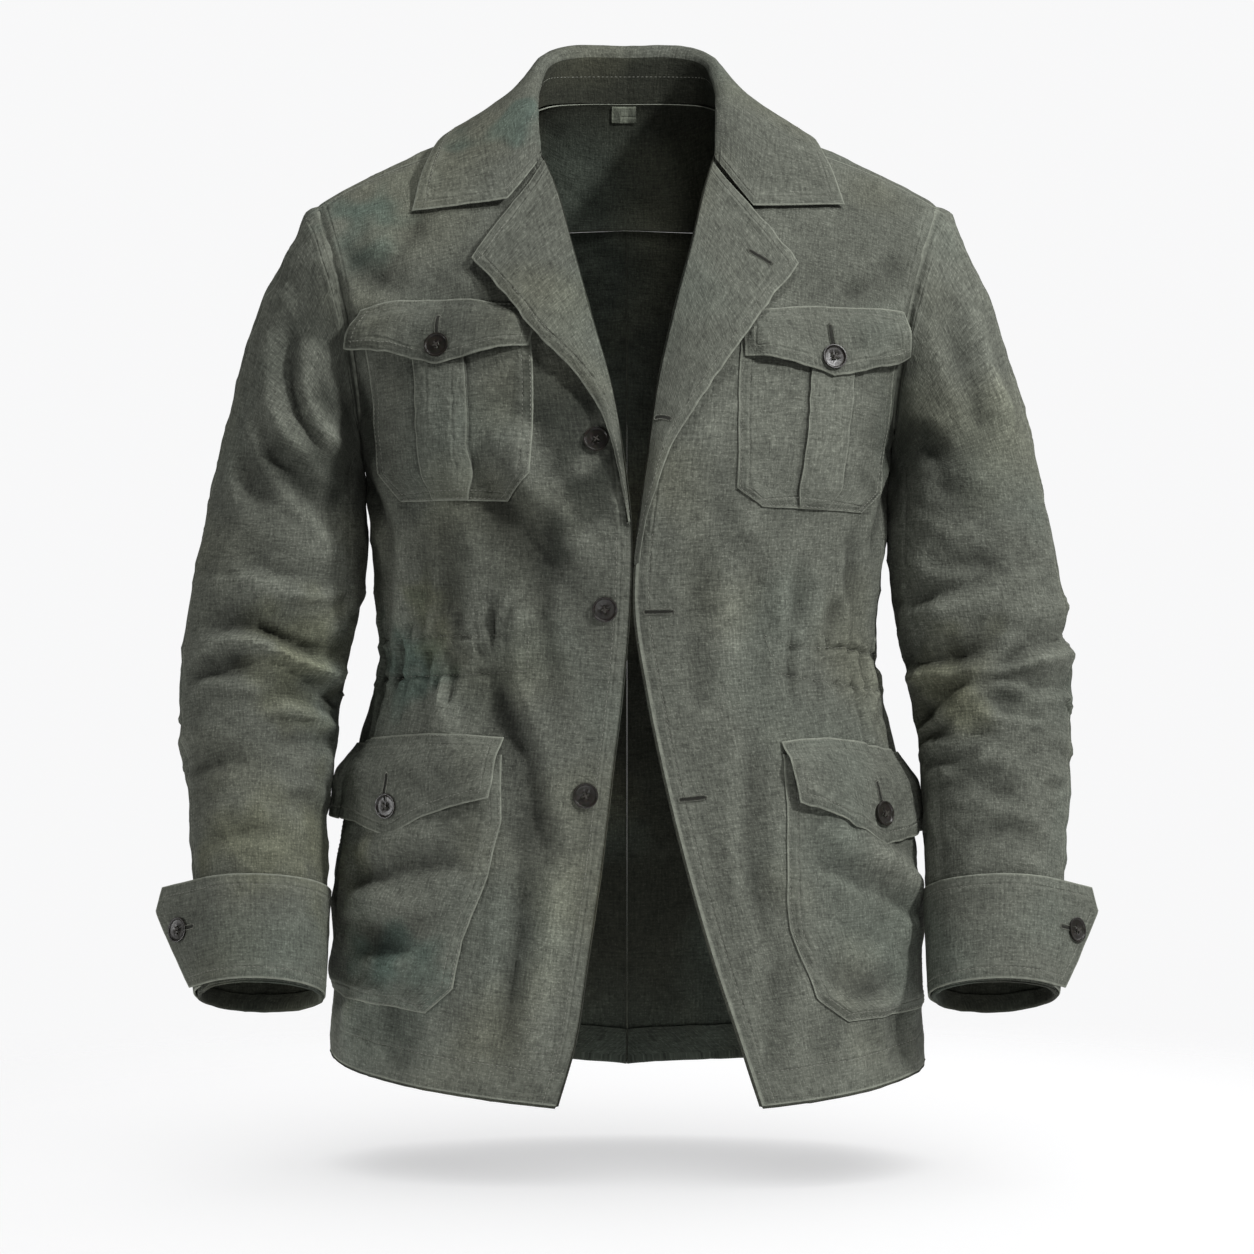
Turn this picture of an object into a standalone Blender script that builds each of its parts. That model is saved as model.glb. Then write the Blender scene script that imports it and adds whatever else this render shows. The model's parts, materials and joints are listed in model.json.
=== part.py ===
"""Safari jacket, worn shape with nobody in it: cloth panels about 1.5 mm thick.

Axes: the origin is on the neck seam at the centre of the back, +Z up, the
front faces -Y, +X is the wearer's left.  Side -1 is the wearer's right.
"""
import math
from bisect import bisect_right

import bmesh
import bpy
from mathutils import Vector

# ---- driving sizes (metres) -------------------------------------------------
WALL = 0.0014           # one layer of cloth
DOUBLE = 0.0020         # two layers stitched together
GAP = 0.0003            # pieces stand this far apart at a seam
OVER = 0.0009           # air under a piece that lies on another
POCKET_AIR = 0.0015     # air under the pockets, which bag a little
BACK_LENGTH = 0.740     # neck seam to hem at the centre of the back
CHEST_HALF = 0.195      # half width at the armpit
WAIST_HALF = 0.181
HEM_HALF = 0.2200
BUTTON_R = 0.0090
BUTTON_T = 0.0036

RIGHT = -1
LEFT = 1

# half width of the body at a height, and how far back its side seam sits
BODY = [  # z, half_width, side_y
    (-0.740, HEM_HALF, -0.106),
    (-0.670, 0.2165, -0.106),
    (-0.610, 0.2130, -0.105),
    (-0.550, 0.2065, -0.104),
    (-0.480, 0.1945, -0.102),
    (-0.450, 0.1865, -0.101),
    (-0.420, WAIST_HALF, -0.100),
    (-0.390, 0.1840, -0.099),
    (-0.340, 0.1885, -0.097),
    (-0.300, 0.1918, -0.094),
    (-0.270, CHEST_HALF, -0.090),
]

# front edge below the lapel, roll line above it, neck seam to the shoulder
FRONT_EDGE = [  # v, z, y, x_right, x_left
    (0.00, -0.7390, -0.238, -0.0502, 0.0950),
    (0.08, -0.6920, -0.237, -0.0370, 0.0795),
    (0.16, -0.6360, -0.235, -0.0285, 0.0610),
    (0.24, -0.5750, -0.232, -0.0195, 0.0435),
    (0.32, -0.5120, -0.228, -0.0120, 0.0278),
    (0.40, -0.4500, -0.225, -0.0045, 0.0150),
    (0.48, -0.3880, -0.228, 0.0008, 0.0058),
    (0.55, -0.3350, -0.234, 0.0018, 0.0086),
    (0.61, -0.2870, -0.232, -0.0030, 0.0150),
    (0.68, -0.2330, -0.218, -0.0125, 0.0225),
    (0.76, -0.1780, -0.196, -0.0275, 0.0345),
    (0.84, -0.1250, -0.162, -0.0415, 0.0480),
    (0.92, -0.0740, -0.124, -0.0560, 0.0600),
    (0.95, -0.0560, -0.108, -0.0635, 0.0655),
    (1.00, -0.0300, -0.083, -0.0780, 0.0780),
]

BACK_EDGE = [  # v, z, y
    (0.00, -BACK_LENGTH, 0.030),
    (0.18, -0.600, 0.019),
    (0.34, -0.490, 0.007),
    (0.44, -0.420, 0.004),
    (0.55, -0.340, 0.018),
    (0.68, -0.250, 0.030),
    (0.84, -0.160, 0.032),
    (1.00, -0.095, 0.023),
]

# how round the panel bows between its inner edge and its side
ROUND = [  # v, share of a quarter ellipse
    (0.00, 1.00),
    (0.70, 1.00),
    (0.85, 0.80),
    (1.00, 0.25),
]

ARM_V = 0.62            # share of a panel's height that lies below the armhole
HEM_SIDE_Z = {RIGHT: -0.7115, LEFT: -0.7185}
FRONT_ARM = 0.25        # armhole angles where the seams meet it, from the top
BACK_ARM = -0.68
SHOULDER_RISE = 0.004

NECK = [  # s, x, y, z of the neck seam, centre back to the shoulder seam
    (0.00, 0.0000, 0.000, 0.0000),
    (0.12, 0.0340, -0.004, -0.0005),
    (0.24, 0.0620, -0.022, -0.0050),
    (0.34, 0.0755, -0.052, -0.0170),
    (0.42, 0.0780, -0.083, -0.0300),
]
NECK_S = 0.42

YOKE_CROWN = [  # s, x, y, z of the point the yoke bends over
    (0.00, 0.000, 0.017, -0.046),
    (0.12, 0.036, 0.016, -0.040),
    (0.24, 0.064, 0.006, -0.012),
    (0.34, 0.080, -0.012, 0.010),
    (0.42, 0.087, -0.020, 0.017),
    (0.70, 0.150, -0.025, -0.030),
    (1.00, 0.231, -0.080, -0.088),
]

SLEEVE = [  # t, x, y, z, half_width, half_depth, lean of the ring
    (0.30, 0.2505, -0.099, -0.300, 0.0565, 0.0610, 0.02),
    (0.39, 0.2550, -0.104, -0.353, 0.0625, 0.0590, 0.04),
    (0.50, 0.2655, -0.111, -0.420, 0.0620, 0.0575, 0.10),
    (0.58, 0.2690, -0.119, -0.465, 0.0585, 0.0550, 0.18),
    (0.65, 0.2695, -0.127, -0.500, 0.0555, 0.0520, 0.24),
    (0.75, 0.2685, -0.141, -0.550, 0.0510, 0.0490, 0.28),
    (0.87, 0.2665, -0.160, -0.610, 0.0470, 0.0460, 0.31),
    (1.00, 0.2640, -0.180, -0.667, 0.0440, 0.0440, 0.36),
]
CUFF_T = 0.835          # where the turned-back cuff begins on the sleeve
HIND_SEAM = 0.30        # ring angles of the two sleeve seams, from the outside
FORE_SEAM = 2.55

# lapels: roll line and outer edge as shares (across, up) of the front panel
LAPEL = {
    RIGHT: [  # f, up_at_roll, across_at_edge, up_at_edge
        (0.00, 0.560, 0.0100, 0.5660),
        (0.12, 0.590, 0.0150, 0.6020),
        (0.25, 0.620, 0.0220, 0.6330),
        (0.38, 0.658, 0.0360, 0.6580),
        (0.50, 0.700, 0.0640, 0.6850),
        (0.62, 0.746, 0.1060, 0.7133),
        (0.74, 0.795, 0.1600, 0.7475),
        (0.87, 0.856, 0.2249, 0.7933),
        (1.00, 0.943, 0.3026, 0.8398),
    ],
    LEFT: [
        (0.00, 0.5200, 0.0090, 0.5220),
        (0.15, 0.5800, 0.0150, 0.5600),
        (0.30, 0.6250, 0.0330, 0.5950),
        (0.42, 0.6650, 0.0540, 0.6230),
        (0.52, 0.7040, 0.0790, 0.6450),
        (0.62, 0.7450, 0.1068, 0.6661),
        (0.75, 0.8000, 0.1600, 0.7080),
        (0.87, 0.8620, 0.2300, 0.7640),
        (1.00, 0.9400, 0.3385, 0.8367),
    ],
}
LAPEL_RISE = [  # f, air under the outer edge: it lies over a button and the chest flap
    (0.00, 0.0014),
    (0.12, 0.0034),
    (0.25, 0.0062),
    (0.42, 0.0040),
    (0.62, 0.0074),
    (0.85, 0.0078),
    (1.00, 0.0044),
]
NOTCH = {RIGHT: (0.1537, 0.8899), LEFT: (0.1661, 0.8830)}
COLLAR_POINT = {RIGHT: (0.5195, 0.9079), LEFT: (0.5134, 0.9153)}

COLLAR = [  # s, then x y z of the roll line, the bend, the middle, the outer edge
    (0.00, 0.0, -0.0050, 0.0385, 0.0, 0.0030, 0.0450, 0.0, 0.0160, 0.0180, 0.0, 0.0210, -0.0200),
    (0.20, 0.0360, -0.0095, 0.0380, 0.0400, -0.0020, 0.0445,
     0.0470, 0.0130, 0.0160, 0.0520, 0.0190, -0.0220),
    (0.42, 0.0590, -0.0290, 0.0270, 0.0655, -0.0240, 0.0325,
     0.0820, -0.0080, 0.0040, 0.0960, -0.0040, -0.0350),
    (0.52, 0.0620, -0.0430, 0.0165, 0.0690, -0.0400, 0.0225,
     0.0900, -0.0310, 0.0020, 0.1160, -0.0280, -0.0255),
    (0.62, 0.0640, -0.0590, 0.0040, 0.0715, -0.0580, 0.0095,
     0.0970, -0.0590, -0.0065, 0.1335, -0.0620, -0.0310),
    (0.80, 0.0645, -0.0870, -0.0180, 0.0725, -0.0890, -0.0140,
     0.1010, -0.1010, -0.0360, 0.1485, -0.1100, -0.0590),
]
COLLAR_T = (0.0, 0.16, 0.50, 1.0)

# pockets: rows from the top, inner and outer end as shares (across, up)
CHEST_POCKET = {
    RIGHT: [  # b, across_in, up_in, across_out, up_out
        (0.00, 0.1643, 0.7501, 0.8000, 0.7950),
        (0.84, 0.2175, 0.5973, 0.7213, 0.5942),
        (1.00, 0.2856, 0.5720, 0.6217, 0.5675),
    ],
    LEFT: [
        (0.00, 0.1981, 0.7450, 0.8950, 0.7990),
        (0.86, 0.2281, 0.5847, 0.7628, 0.5757),
        (1.00, 0.2964, 0.5668, 0.6498, 0.5571),
    ],
}
PLEAT = {RIGHT: (0.305, 0.595), LEFT: (0.320, 0.575)}
PLEAT_RISE = 0.0018
LOWER_POCKET = {
    RIGHT: [
        (0.00, 0.2747, 0.3345, 0.9750, 0.3080),
        (0.22, 0.2485, 0.2758, 0.9750, 0.2480),
        (0.44, 0.2643, 0.2234, 0.9750, 0.2000),
        (0.66, 0.3127, 0.1591, 0.9750, 0.1450),
        (0.86, 0.3248, 0.1110, 0.9750, 0.0950),
        (1.00, 0.3952, 0.0812, 0.9700, 0.0640),
    ],
    LEFT: [
        (0.00, 0.3209, 0.3340, 0.9750, 0.3020),
        (0.20, 0.3020, 0.2886, 0.9750, 0.2560),
        (0.52, 0.2481, 0.2035, 0.9750, 0.1800),
        (0.66, 0.2378, 0.1759, 0.9750, 0.1480),
        (0.86, 0.2732, 0.1067, 0.9750, 0.0950),
        (1.00, 0.3748, 0.0766, 0.9700, 0.0560),
    ],
}
POCKET_PUFF = 0.0050

# flaps: columns from the inner end, upper and lower edge as shares (across, up)
CHEST_FLAP = {
    RIGHT: [  # a, across_top, up_top, across_low, up_low
        (0.00, 0.1458, 0.7747, 0.1755, 0.7338),
        (0.18, 0.2350, 0.7860, 0.2750, 0.7332),
        (0.36, 0.3250, 0.7990, 0.3600, 0.7330),
        (0.49, 0.4087, 0.8051, 0.4444, 0.7296),
        (0.74, 0.5900, 0.8165, 0.6500, 0.7650),
        (1.00, 0.8034, 0.8223, 0.9150, 0.7915),
    ],
    LEFT: [
        (0.00, 0.1869, 0.7744, 0.2141, 0.7240),
        (0.18, 0.2700, 0.7830, 0.3050, 0.7243),
        (0.36, 0.3550, 0.7930, 0.4000, 0.7240),
        (0.50, 0.4527, 0.8002, 0.4992, 0.7204),
        (0.74, 0.6400, 0.8120, 0.7100, 0.7520),
        (1.00, 0.8900, 0.8270, 0.9500, 0.7850),
    ],
}
LOWER_FLAP = {
    RIGHT: [
        (0.00, 0.2806, 0.3510, 0.2834, 0.2925),
        (0.18, 0.3705, 0.3494, 0.3685, 0.2821),
        (0.36, 0.4900, 0.3460, 0.4587, 0.2673),
        (0.52, 0.5991, 0.3399, 0.5653, 0.2432),
        (0.72, 0.7300, 0.3310, 0.7350, 0.2483),
        (1.00, 0.9500, 0.3150, 0.9600, 0.2380),
    ],
    LEFT: [
        (0.00, 0.3270, 0.3459, 0.3264, 0.2885),
        (0.18, 0.3910, 0.3464, 0.3834, 0.2824),
        (0.36, 0.4800, 0.3446, 0.4793, 0.2650),
        (0.56, 0.6000, 0.3370, 0.6117, 0.2353),
        (0.74, 0.7300, 0.3240, 0.7500, 0.2350),
        (1.00, 0.9450, 0.3110, 0.9560, 0.2320),
    ],
}
FLAP_FLARE = 0.0045     # how far the lower flaps' outer ends stand away

CUFF_START = 0.55       # ring angle where the under end of the cuff begins
CUFF_LEAVE = 0.80       # ring angle where the buttoned end leaves the tube
CUFF_PROUD = 0.0045
TAB = [  # t down the cuff, length of the end that stands away
    (0.00, 0.044),
    (0.20, 0.052),
    (1.00, 0.021),
]


# ---- curves and surfaces -------------------------------------------------------
def lerp(a, b, t):
    return a + (b - a) * t


def slope_at(table, i, c):
    """Slope of column c at an inner row, weighted by its two spans."""
    a = table[i][0] - table[i - 1][0]
    b = table[i + 1][0] - table[i][0]
    before = (table[i][c] - table[i - 1][c]) / a
    after = (table[i + 1][c] - table[i][c]) / b
    return (before * b + after * a) / (a + b)


def curve(table, key):
    """Smooth row of a table at a key; column 0 holds the keys, rising."""
    keys = [row[0] for row in table]
    key = min(max(key, keys[0]), keys[-1])
    i = min(max(bisect_right(keys, key) - 1, 0), len(keys) - 2)
    span = keys[i + 1] - keys[i]
    t = (key - keys[i]) / span
    row = []
    for c in range(1, len(table[0])):
        p0 = table[i][c]
        p1 = table[i + 1][c]
        chord = (p1 - p0) / span
        m0 = chord if i == 0 else slope_at(table, i, c)
        m1 = chord if i + 2 == len(keys) else slope_at(table, i + 1, c)
        value = (2 * t ** 3 - 3 * t ** 2 + 1) * p0 + (3 * t ** 2 - 2 * t ** 3) * p1
        value += (t ** 3 - 2 * t ** 2 + t) * span * m0 + (t ** 3 - t ** 2) * span * m1
        row.append(value)
    return row


def straight(table, key):
    """Row of a table at a key with straight runs between its rows."""
    keys = [row[0] for row in table]
    key = min(max(key, keys[0]), keys[-1])
    i = min(max(bisect_right(keys, key) - 1, 0), len(keys) - 2)
    t = (key - keys[i]) / (keys[i + 1] - keys[i])
    return [lerp(a, b, t) for a, b in zip(table[i][1:], table[i + 1][1:])]


def armhole(side, phi):
    """Armhole loop: 0 at the shoulder tip, +90 degrees at the front."""
    x = 0.20925 + 0.018 * math.cos(phi) - 0.0015 * math.sin(phi) + 0.00375 * math.cos(2 * phi)
    y = -0.090 - 0.062 * math.sin(phi)
    z = -0.180 + 0.090 * math.cos(phi)
    return Vector((side * x, y, z))


def side_line(side, v, arm_end):
    """Outer end of a panel's row: side seam below, armhole above."""
    if v < ARM_V:
        z = lerp(HEM_SIDE_Z[side], -0.270, v / ARM_V)
        half, y = curve(BODY, z)
        return Vector((side * half, y, z))
    start = math.pi if arm_end > 0 else -math.pi
    return armhole(side, lerp(start, arm_end, (v - ARM_V) / (1 - ARM_V)))


def bow(inner, outer, u, roundness):
    sx = lerp(u, math.sin(math.pi * u / 2), roundness)
    sy = lerp(u, 1 - math.cos(math.pi * u / 2), roundness)
    return Vector((lerp(inner.x, outer.x, sx), lerp(inner.y, outer.y, sy), lerp(inner.z, outer.z, u)))


def front(side, u, v):
    z, y, right, left = curve(FRONT_EDGE, v)
    inner = Vector((right if side == RIGHT else left, y, z))
    outer = side_line(side, v, FRONT_ARM)
    p = bow(inner, outer, u, curve(ROUND, v)[0])
    rise = max(0.0, (v - 0.80) / 0.20)
    p.z += SHOULDER_RISE * rise * 4 * u * (1 - u)
    return p


def back(side, u, v):
    z, y = curve(BACK_EDGE, v)
    return bow(Vector((0.0, y, z)), side_line(side, v, BACK_ARM), u, curve(ROUND, min(v, 0.85))[0])


def yoke(s, t):
    """s runs -1..1 across the shoulders, t from the front and neck to the back seam."""
    side = -1 if s < 0 else 1
    a = abs(s)
    if a <= NECK_S:
        x, y, z = curve(NECK, a)
        top = Vector((side * x, y, z))
    else:
        top = front(side, (a - NECK_S) / (1 - NECK_S), 1.0)
    low = back(side, a, 1.0)
    cx, cy, cz = curve(YOKE_CROWN, a)
    crown = Vector((side * cx, cy, cz))
    p = top * (1 - t) ** 2 + crown * 2 * t * (1 - t) + low * t ** 2
    if a > 0.70:
        end_top = armhole(side, FRONT_ARM)
        end_low = armhole(side, BACK_ARM)
        end_crown = Vector((side * YOKE_CROWN[-1][1], YOKE_CROWN[-1][2], YOKE_CROWN[-1][3]))
        end = end_top * (1 - t) ** 2 + end_crown * 2 * t * (1 - t) + end_low * t ** 2
        p += (armhole(side, lerp(FRONT_ARM, BACK_ARM, t)) - end) * ((a - 0.70) / 0.30) ** 2
    return p


def ring(side, phi, t):
    x, y, z, width, depth, lean = curve(SLEEVE, t)
    px = x + width * math.cos(phi)
    py = y - depth * math.sin(phi) * math.cos(lean)
    pz = z + depth * math.sin(phi) * math.sin(lean)
    return Vector((side * px, py, pz))


def sleeve(side, phi, t):
    """phi 0 outside, +90 degrees at the front; t from the armhole to the wrist."""
    first = SLEEVE[0][0]
    if t >= first:
        return ring(side, phi, t)
    away = 0.0006 + 0.0008 * max(0.0, math.cos(phi))
    start = armhole(side, phi) + Vector((side * away, 0.0, 0.0))
    end = ring(side, phi, first)
    reach = (end - start).length
    go = Vector((side * (0.28 + 0.28 * math.cos(phi)), -0.22 * math.sin(phi), -0.83)).normalized()
    land = (ring(side, phi, first + 0.02) - end).normalized()
    q = t / first
    p = start * (2 * q ** 3 - 3 * q ** 2 + 1) + end * (3 * q ** 2 - 2 * q ** 3)
    return p + go * reach * (q ** 3 - 2 * q ** 2 + q) + land * reach * (q ** 3 - q ** 2)


def normal_at(surface, a, b, facing):
    """Unit normal of surface(a, b), turned toward the given facing."""
    h = 0.004
    du = surface(min(a + h, 1.0), b) - surface(max(a - h, 0.0), b)
    dv = surface(a, min(b + h, 1.0)) - surface(a, max(b - h, 0.0))
    n = du.cross(dv)
    if n.length < 1e-12:
        n = Vector(facing)
    n.normalize()
    return n if n.dot(Vector(facing)) >= 0 else -n


# ---- making solids ----------------------------------------------------------------
MATERIALS = {
    "cloth": ((0.125, 0.130, 0.105, 1.0), 0.92),
    "button": ((0.030, 0.022, 0.016, 1.0), 0.45),
    "label": ((0.055, 0.055, 0.045, 1.0), 0.80),
}


def finish(name, bm, slot, smooth=True):
    """Turn a bmesh into a named object with its own material."""
    bmesh.ops.recalc_face_normals(bm, faces=bm.faces)
    mesh = bpy.data.meshes.new(name)
    bm.to_mesh(mesh)
    bm.free()
    for face in mesh.polygons:
        face.use_smooth = smooth
    colour, rough = MATERIALS[slot]
    material = bpy.data.materials.new(name + "_" + slot)
    material.use_nodes = True
    shader = material.node_tree.nodes["Principled BSDF"]
    shader.inputs["Base Color"].default_value = colour
    shader.inputs["Roughness"].default_value = rough
    shader.inputs["Metallic"].default_value = 0.0
    mesh.materials.append(material)
    thing = bpy.data.objects.new(name, mesh)
    bpy.context.scene.collection.objects.link(thing)
    return thing


def skin(name, outer, inner, slot="cloth"):
    """Close two matching grids of points into one thin solid."""
    bm = bmesh.new()
    top = [[bm.verts.new(p) for p in row] for row in outer]
    low = [[bm.verts.new(p) for p in row] for row in inner]
    rows = len(top)
    cols = len(top[0])
    for i in range(rows - 1):
        for j in range(cols - 1):
            bm.faces.new((top[i][j], top[i + 1][j], top[i + 1][j + 1], top[i][j + 1]))
            bm.faces.new((low[i][j], low[i][j + 1], low[i + 1][j + 1], low[i + 1][j]))
    for i in range(rows - 1):
        for j in (0, cols - 1):
            bm.faces.new((top[i][j], low[i][j], low[i + 1][j], top[i + 1][j]))
    for j in range(cols - 1):
        for i in (0, rows - 1):
            bm.faces.new((top[i][j], top[i][j + 1], low[i][j + 1], low[i][j]))
    return finish(name, bm, slot)


def steps(count, start=0.0, end=1.0):
    return [lerp(start, end, i / count) for i in range(count + 1)]


def panel(name, surface, facing, across, along, wall=WALL):
    """Thin solid on surface(a, b) at the given stations, wall laid inward."""
    outer = []
    inner = []
    for b in along:
        row = [surface(a, b) for a in across]
        under = []
        for a, p in zip(across, row):
            look = facing(a, b) if callable(facing) else facing
            under.append(p - normal_at(surface, a, b, look) * wall)
        outer.append(row)
        inner.append(under)
    return skin(name, outer, inner)


def trim(length):
    """Share of a length that leaves half a seam gap at its end."""
    return GAP / 2 / length


# ---- body ------------------------------------------------------------------------
def outward(side):
    return lambda a, b: (side * a, -(1 - a) * 1.0 - 0.2, 0.4 * max(0.0, b - 0.7))


def outward_back(side):
    return lambda a, b: (side * a, (1 - a) * 1.0 + 0.2, 0.4 * max(0.0, b - 0.7))


def yoke_facing(a, b):
    s = 2 * a - 1
    return Vector((1.2 * s, 0.4 * max(0.0, 1 - 3 * abs(s)) + 0.3 * b, 1.0))


def build_body():
    for side, word in ((RIGHT, "right"), (LEFT, "left")):
        e = trim(0.26)
        top = 1 - trim(0.70) * 2
        panel("front_" + word, lambda u, v: front(side, u, v), outward(side),
              steps(9, 0.0, 1 - e), steps(22, 0.0, top))
        panel("back_" + word, lambda u, v: back(side, u, v), outward_back(side),
              steps(8, e * 1.4, 1 - e), steps(20, 0.0, top))
    inner = [-1 + 0.0012, -0.9, -0.8, -0.68, -0.55, -0.42, -0.33, -0.24, -0.12]
    across = inner + [0.0] + [-s for s in reversed(inner)]
    stations = [0.5 + 0.5 * s for s in across]
    panel("back_yoke", lambda a, b: yoke(2 * a - 1, b), yoke_facing, stations, steps(6, 0.004, 0.996))


def build_sleeves():
    for side, word in ((RIGHT, "right"), (LEFT, "left")):
        pieces = (
            ("sleeve_top_", HIND_SEAM + 0.003, FORE_SEAM - 0.003, 9),
            ("sleeve_under_", FORE_SEAM + 0.003, HIND_SEAM + 2 * math.pi - 0.003, 11),
        )
        for name, start, end, count in pieces:
            def surface(a, b, start=start, end=end):
                return sleeve(side, lerp(start, end, a), b)

            def facing(a, b, start=start, end=end):
                phi = lerp(start, end, a)
                if b < 0.05:
                    return (side * (math.cos(phi) + 0.35), -math.sin(phi), 0.5 * math.cos(phi) + 0.1)
                return (side * math.cos(phi), -math.sin(phi), 0.0)
            panel(name + word, surface, facing, steps(count),
                  [0.0, 0.06, 0.12, 0.20, 0.28, 0.36, 0.44, 0.50, 0.56, 0.62, 0.68, 0.76, 0.84, 0.92, 0.985])


# ---- pieces laid on the fronts ---------------------------------------------------
def front_normal(side, u, v):
    return normal_at(lambda a, b: front(side, a, b), u, v, outward(side)(u, v))


def on_front(side, u, v, lift):
    return front(side, u, v) + front_normal(side, u, v) * lift


def laid(name, side, spots, lifts, wall):
    """Solid over a grid of (across, up) spots, each with its own air under it."""
    outer = []
    inner = []
    for row, airs in zip(spots, lifts):
        pairs = [(front(side, u, v), front_normal(side, u, v), air) for (u, v), air in zip(row, airs)]
        outer.append([p + n * (air + wall) for p, n, air in pairs])
        inner.append([p + n * air for p, n, air in pairs])
    skin(name, outer, inner)


def lapel_spot(side, f, t):
    roll, edge_u, edge_v = curve(LAPEL[side], f)
    return lerp(0.0, edge_u, t), lerp(roll, edge_v, t)


def build_lapels():
    for side, word in ((RIGHT, "right"), (LEFT, "left")):
        rows = [0.0, 0.12, 0.25, 0.38, 0.50, 0.62, 0.74, 0.87, 0.997]
        across = steps(4)
        spots = [[lapel_spot(side, f, t) for t in across] for f in rows]
        lifts = [[lerp(0.0012, curve(LAPEL_RISE, f)[0], t) for t in across] for f in rows]
        laid("lapel_" + word, side, spots, lifts, DOUBLE)


def chest_pocket_lift(side, a):
    start, end = PLEAT[side]
    inside = min(1.0, max(0.0, (a - start) / 0.03 + 0.5), max(0.0, (end - a) / 0.03 + 0.5))
    return POCKET_AIR + PLEAT_RISE * inside


def pocket_spots(table, across, down):
    spots = []
    for b in down:
        u_in, v_in, u_out, v_out = straight(table, b)
        spots.append([(lerp(u_in, u_out, a), lerp(v_in, v_out, a)) for a in across])
    return spots


def flap_spots(table, across, down):
    columns = [straight(table, a) for a in across]
    return [[(lerp(c[0], c[2], b), lerp(c[1], c[3], b)) for c in columns] for b in down]


def halved(stations):
    """The same stations with one more between each pair."""
    out = [stations[0]]
    for a, b in zip(stations, stations[1:]):
        out += [(a + b) / 2, b]
    return out


def lower_puff(a, b):
    return POCKET_PUFF * math.sin(math.pi * min(a, 1.0)) * math.sin(math.pi * b)


def build_pockets():
    for side, word in ((RIGHT, "right"), (LEFT, "left")):
        start, end = PLEAT[side]
        across = [0.0, 0.14, start - 0.015, start + 0.015, (start + end) / 2, end - 0.015, end + 0.015,
                  0.70, 0.80, 0.90, 1.0]
        down = [0.0, 0.28, 0.56, CHEST_POCKET[side][1][0], 1.0]
        spots = pocket_spots(CHEST_POCKET[side], across, down)
        lifts = [[chest_pocket_lift(side, a) for a in across] for b in down]
        laid("chest_pocket_" + word, side, spots, lifts, WALL)

        across = halved([row[0] for row in CHEST_FLAP[side]])
        down = [0.0, 0.35, 0.68, 1.0]
        spots = flap_spots(CHEST_FLAP[side], across, down)
        full = POCKET_AIR + WALL + OVER
        lifts = [[lerp(OVER, full + PLEAT_RISE * min(1.0, a / 0.3), min(1.0, b / 0.35)) for a in across]
                 for b in down]
        laid("chest_flap_" + word, side, spots, lifts, DOUBLE)

        across = steps(8)
        down = [row[0] for row in LOWER_POCKET[side]]
        spots = pocket_spots(LOWER_POCKET[side], across, down)
        lifts = [[POCKET_AIR + lower_puff(a, b) for a in across] for b in down]
        laid("lower_pocket_" + word, side, spots, lifts, WALL)

        across = halved([row[0] for row in LOWER_FLAP[side]])
        down = [0.0, 0.2, 0.6, 1.0]
        spots = flap_spots(LOWER_FLAP[side], across, down)
        lifts = []
        for b in down:
            row = []
            for a in across:
                flare = FLAP_FLARE * max(0.0, (a - 0.5) / 0.5) * b
                row.append(lerp(OVER + 0.0006, full + 0.0040, min(1.0, b / 0.2)) + flare)
            lifts.append(row)
        laid("lower_flap_" + word, side, spots, lifts, DOUBLE)


# ---- collar --------------------------------------------------------------------------
def collar_end(side):
    """Last column of the collar: gorge seam, notch, free front edge, point."""
    u, v = NOTCH[side]
    roll = on_front(side, 0.0, lapel_spot(side, 1.0, 0.0)[1], 0.0012 + DOUBLE)
    bend = on_front(side, u * 0.32, lerp(lapel_spot(side, 1.0, 0.0)[1], v, 0.32), 0.0018 + DOUBLE)
    notch = on_front(side, u, v, 0.0028 + DOUBLE)
    point = on_front(side, *COLLAR_POINT[side], 0.0020 + DOUBLE)
    return roll, bend, notch, point


def collar_column(side, s):
    """Four points across the collar at a share s from the back to the front end."""
    last = COLLAR[-1][0]
    end = [(side * p.x, p.y, p.z) for p in collar_end(side)]
    table = COLLAR + [(1.0,) + tuple(value for p in end for value in p)]
    row = curve(table, s)
    sharp = max(0.0, (s - last) / (1.0 - last))
    return [Vector((side * row[i], row[i + 1], row[i + 2])) for i in (0, 3, 6, 9)], sharp


def collar_fall(s, t):
    side = -1 if s < 0 else 1
    points, sharp = collar_column(side, min(abs(s), 1.0))
    table = [(key, p.x, p.y, p.z) for key, p in zip(COLLAR_T, points)]
    smooth = Vector(curve(table, t))
    crisp = Vector(straight(table, t))
    return smooth * (1 - sharp) + crisp * sharp


def neck_seam(s):
    """Neck seam from the centre back to the gorge, s as along the collar."""
    side = -1 if s < 0 else 1
    a = abs(s)
    if a < 0.78:
        x, y, z = curve(NECK, a / 0.78 * NECK_S)
        return Vector((side * x, y, z))
    return front(side, 0.0, lerp(1.0, 0.955, (a - 0.78) / 0.22))


def collar_stand(s, t):
    low = neck_seam(s) + Vector((0.0, 0.0, 0.0009 + 0.0012 * min(1.0, abs(s) * 2)))
    roll = collar_fall(s, 0.0) - Vector((0.0, 0.0, 0.0005))
    return low * (1 - t) + roll * t


def from_neck(a, b=0.0):
    """Level direction away from the middle of the neck at a share of the collar."""
    p = collar_fall(2 * a - 1, 0.0)
    return Vector((p.x, p.y + 0.062, 0.0)).normalized()


def both_ways(half):
    """Stations 0..1 from shares of the half collar, mirrored about the centre back."""
    return [0.5 - 0.5 * s for s in half] + [0.5] + [0.5 + 0.5 * s for s in reversed(half)]


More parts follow.
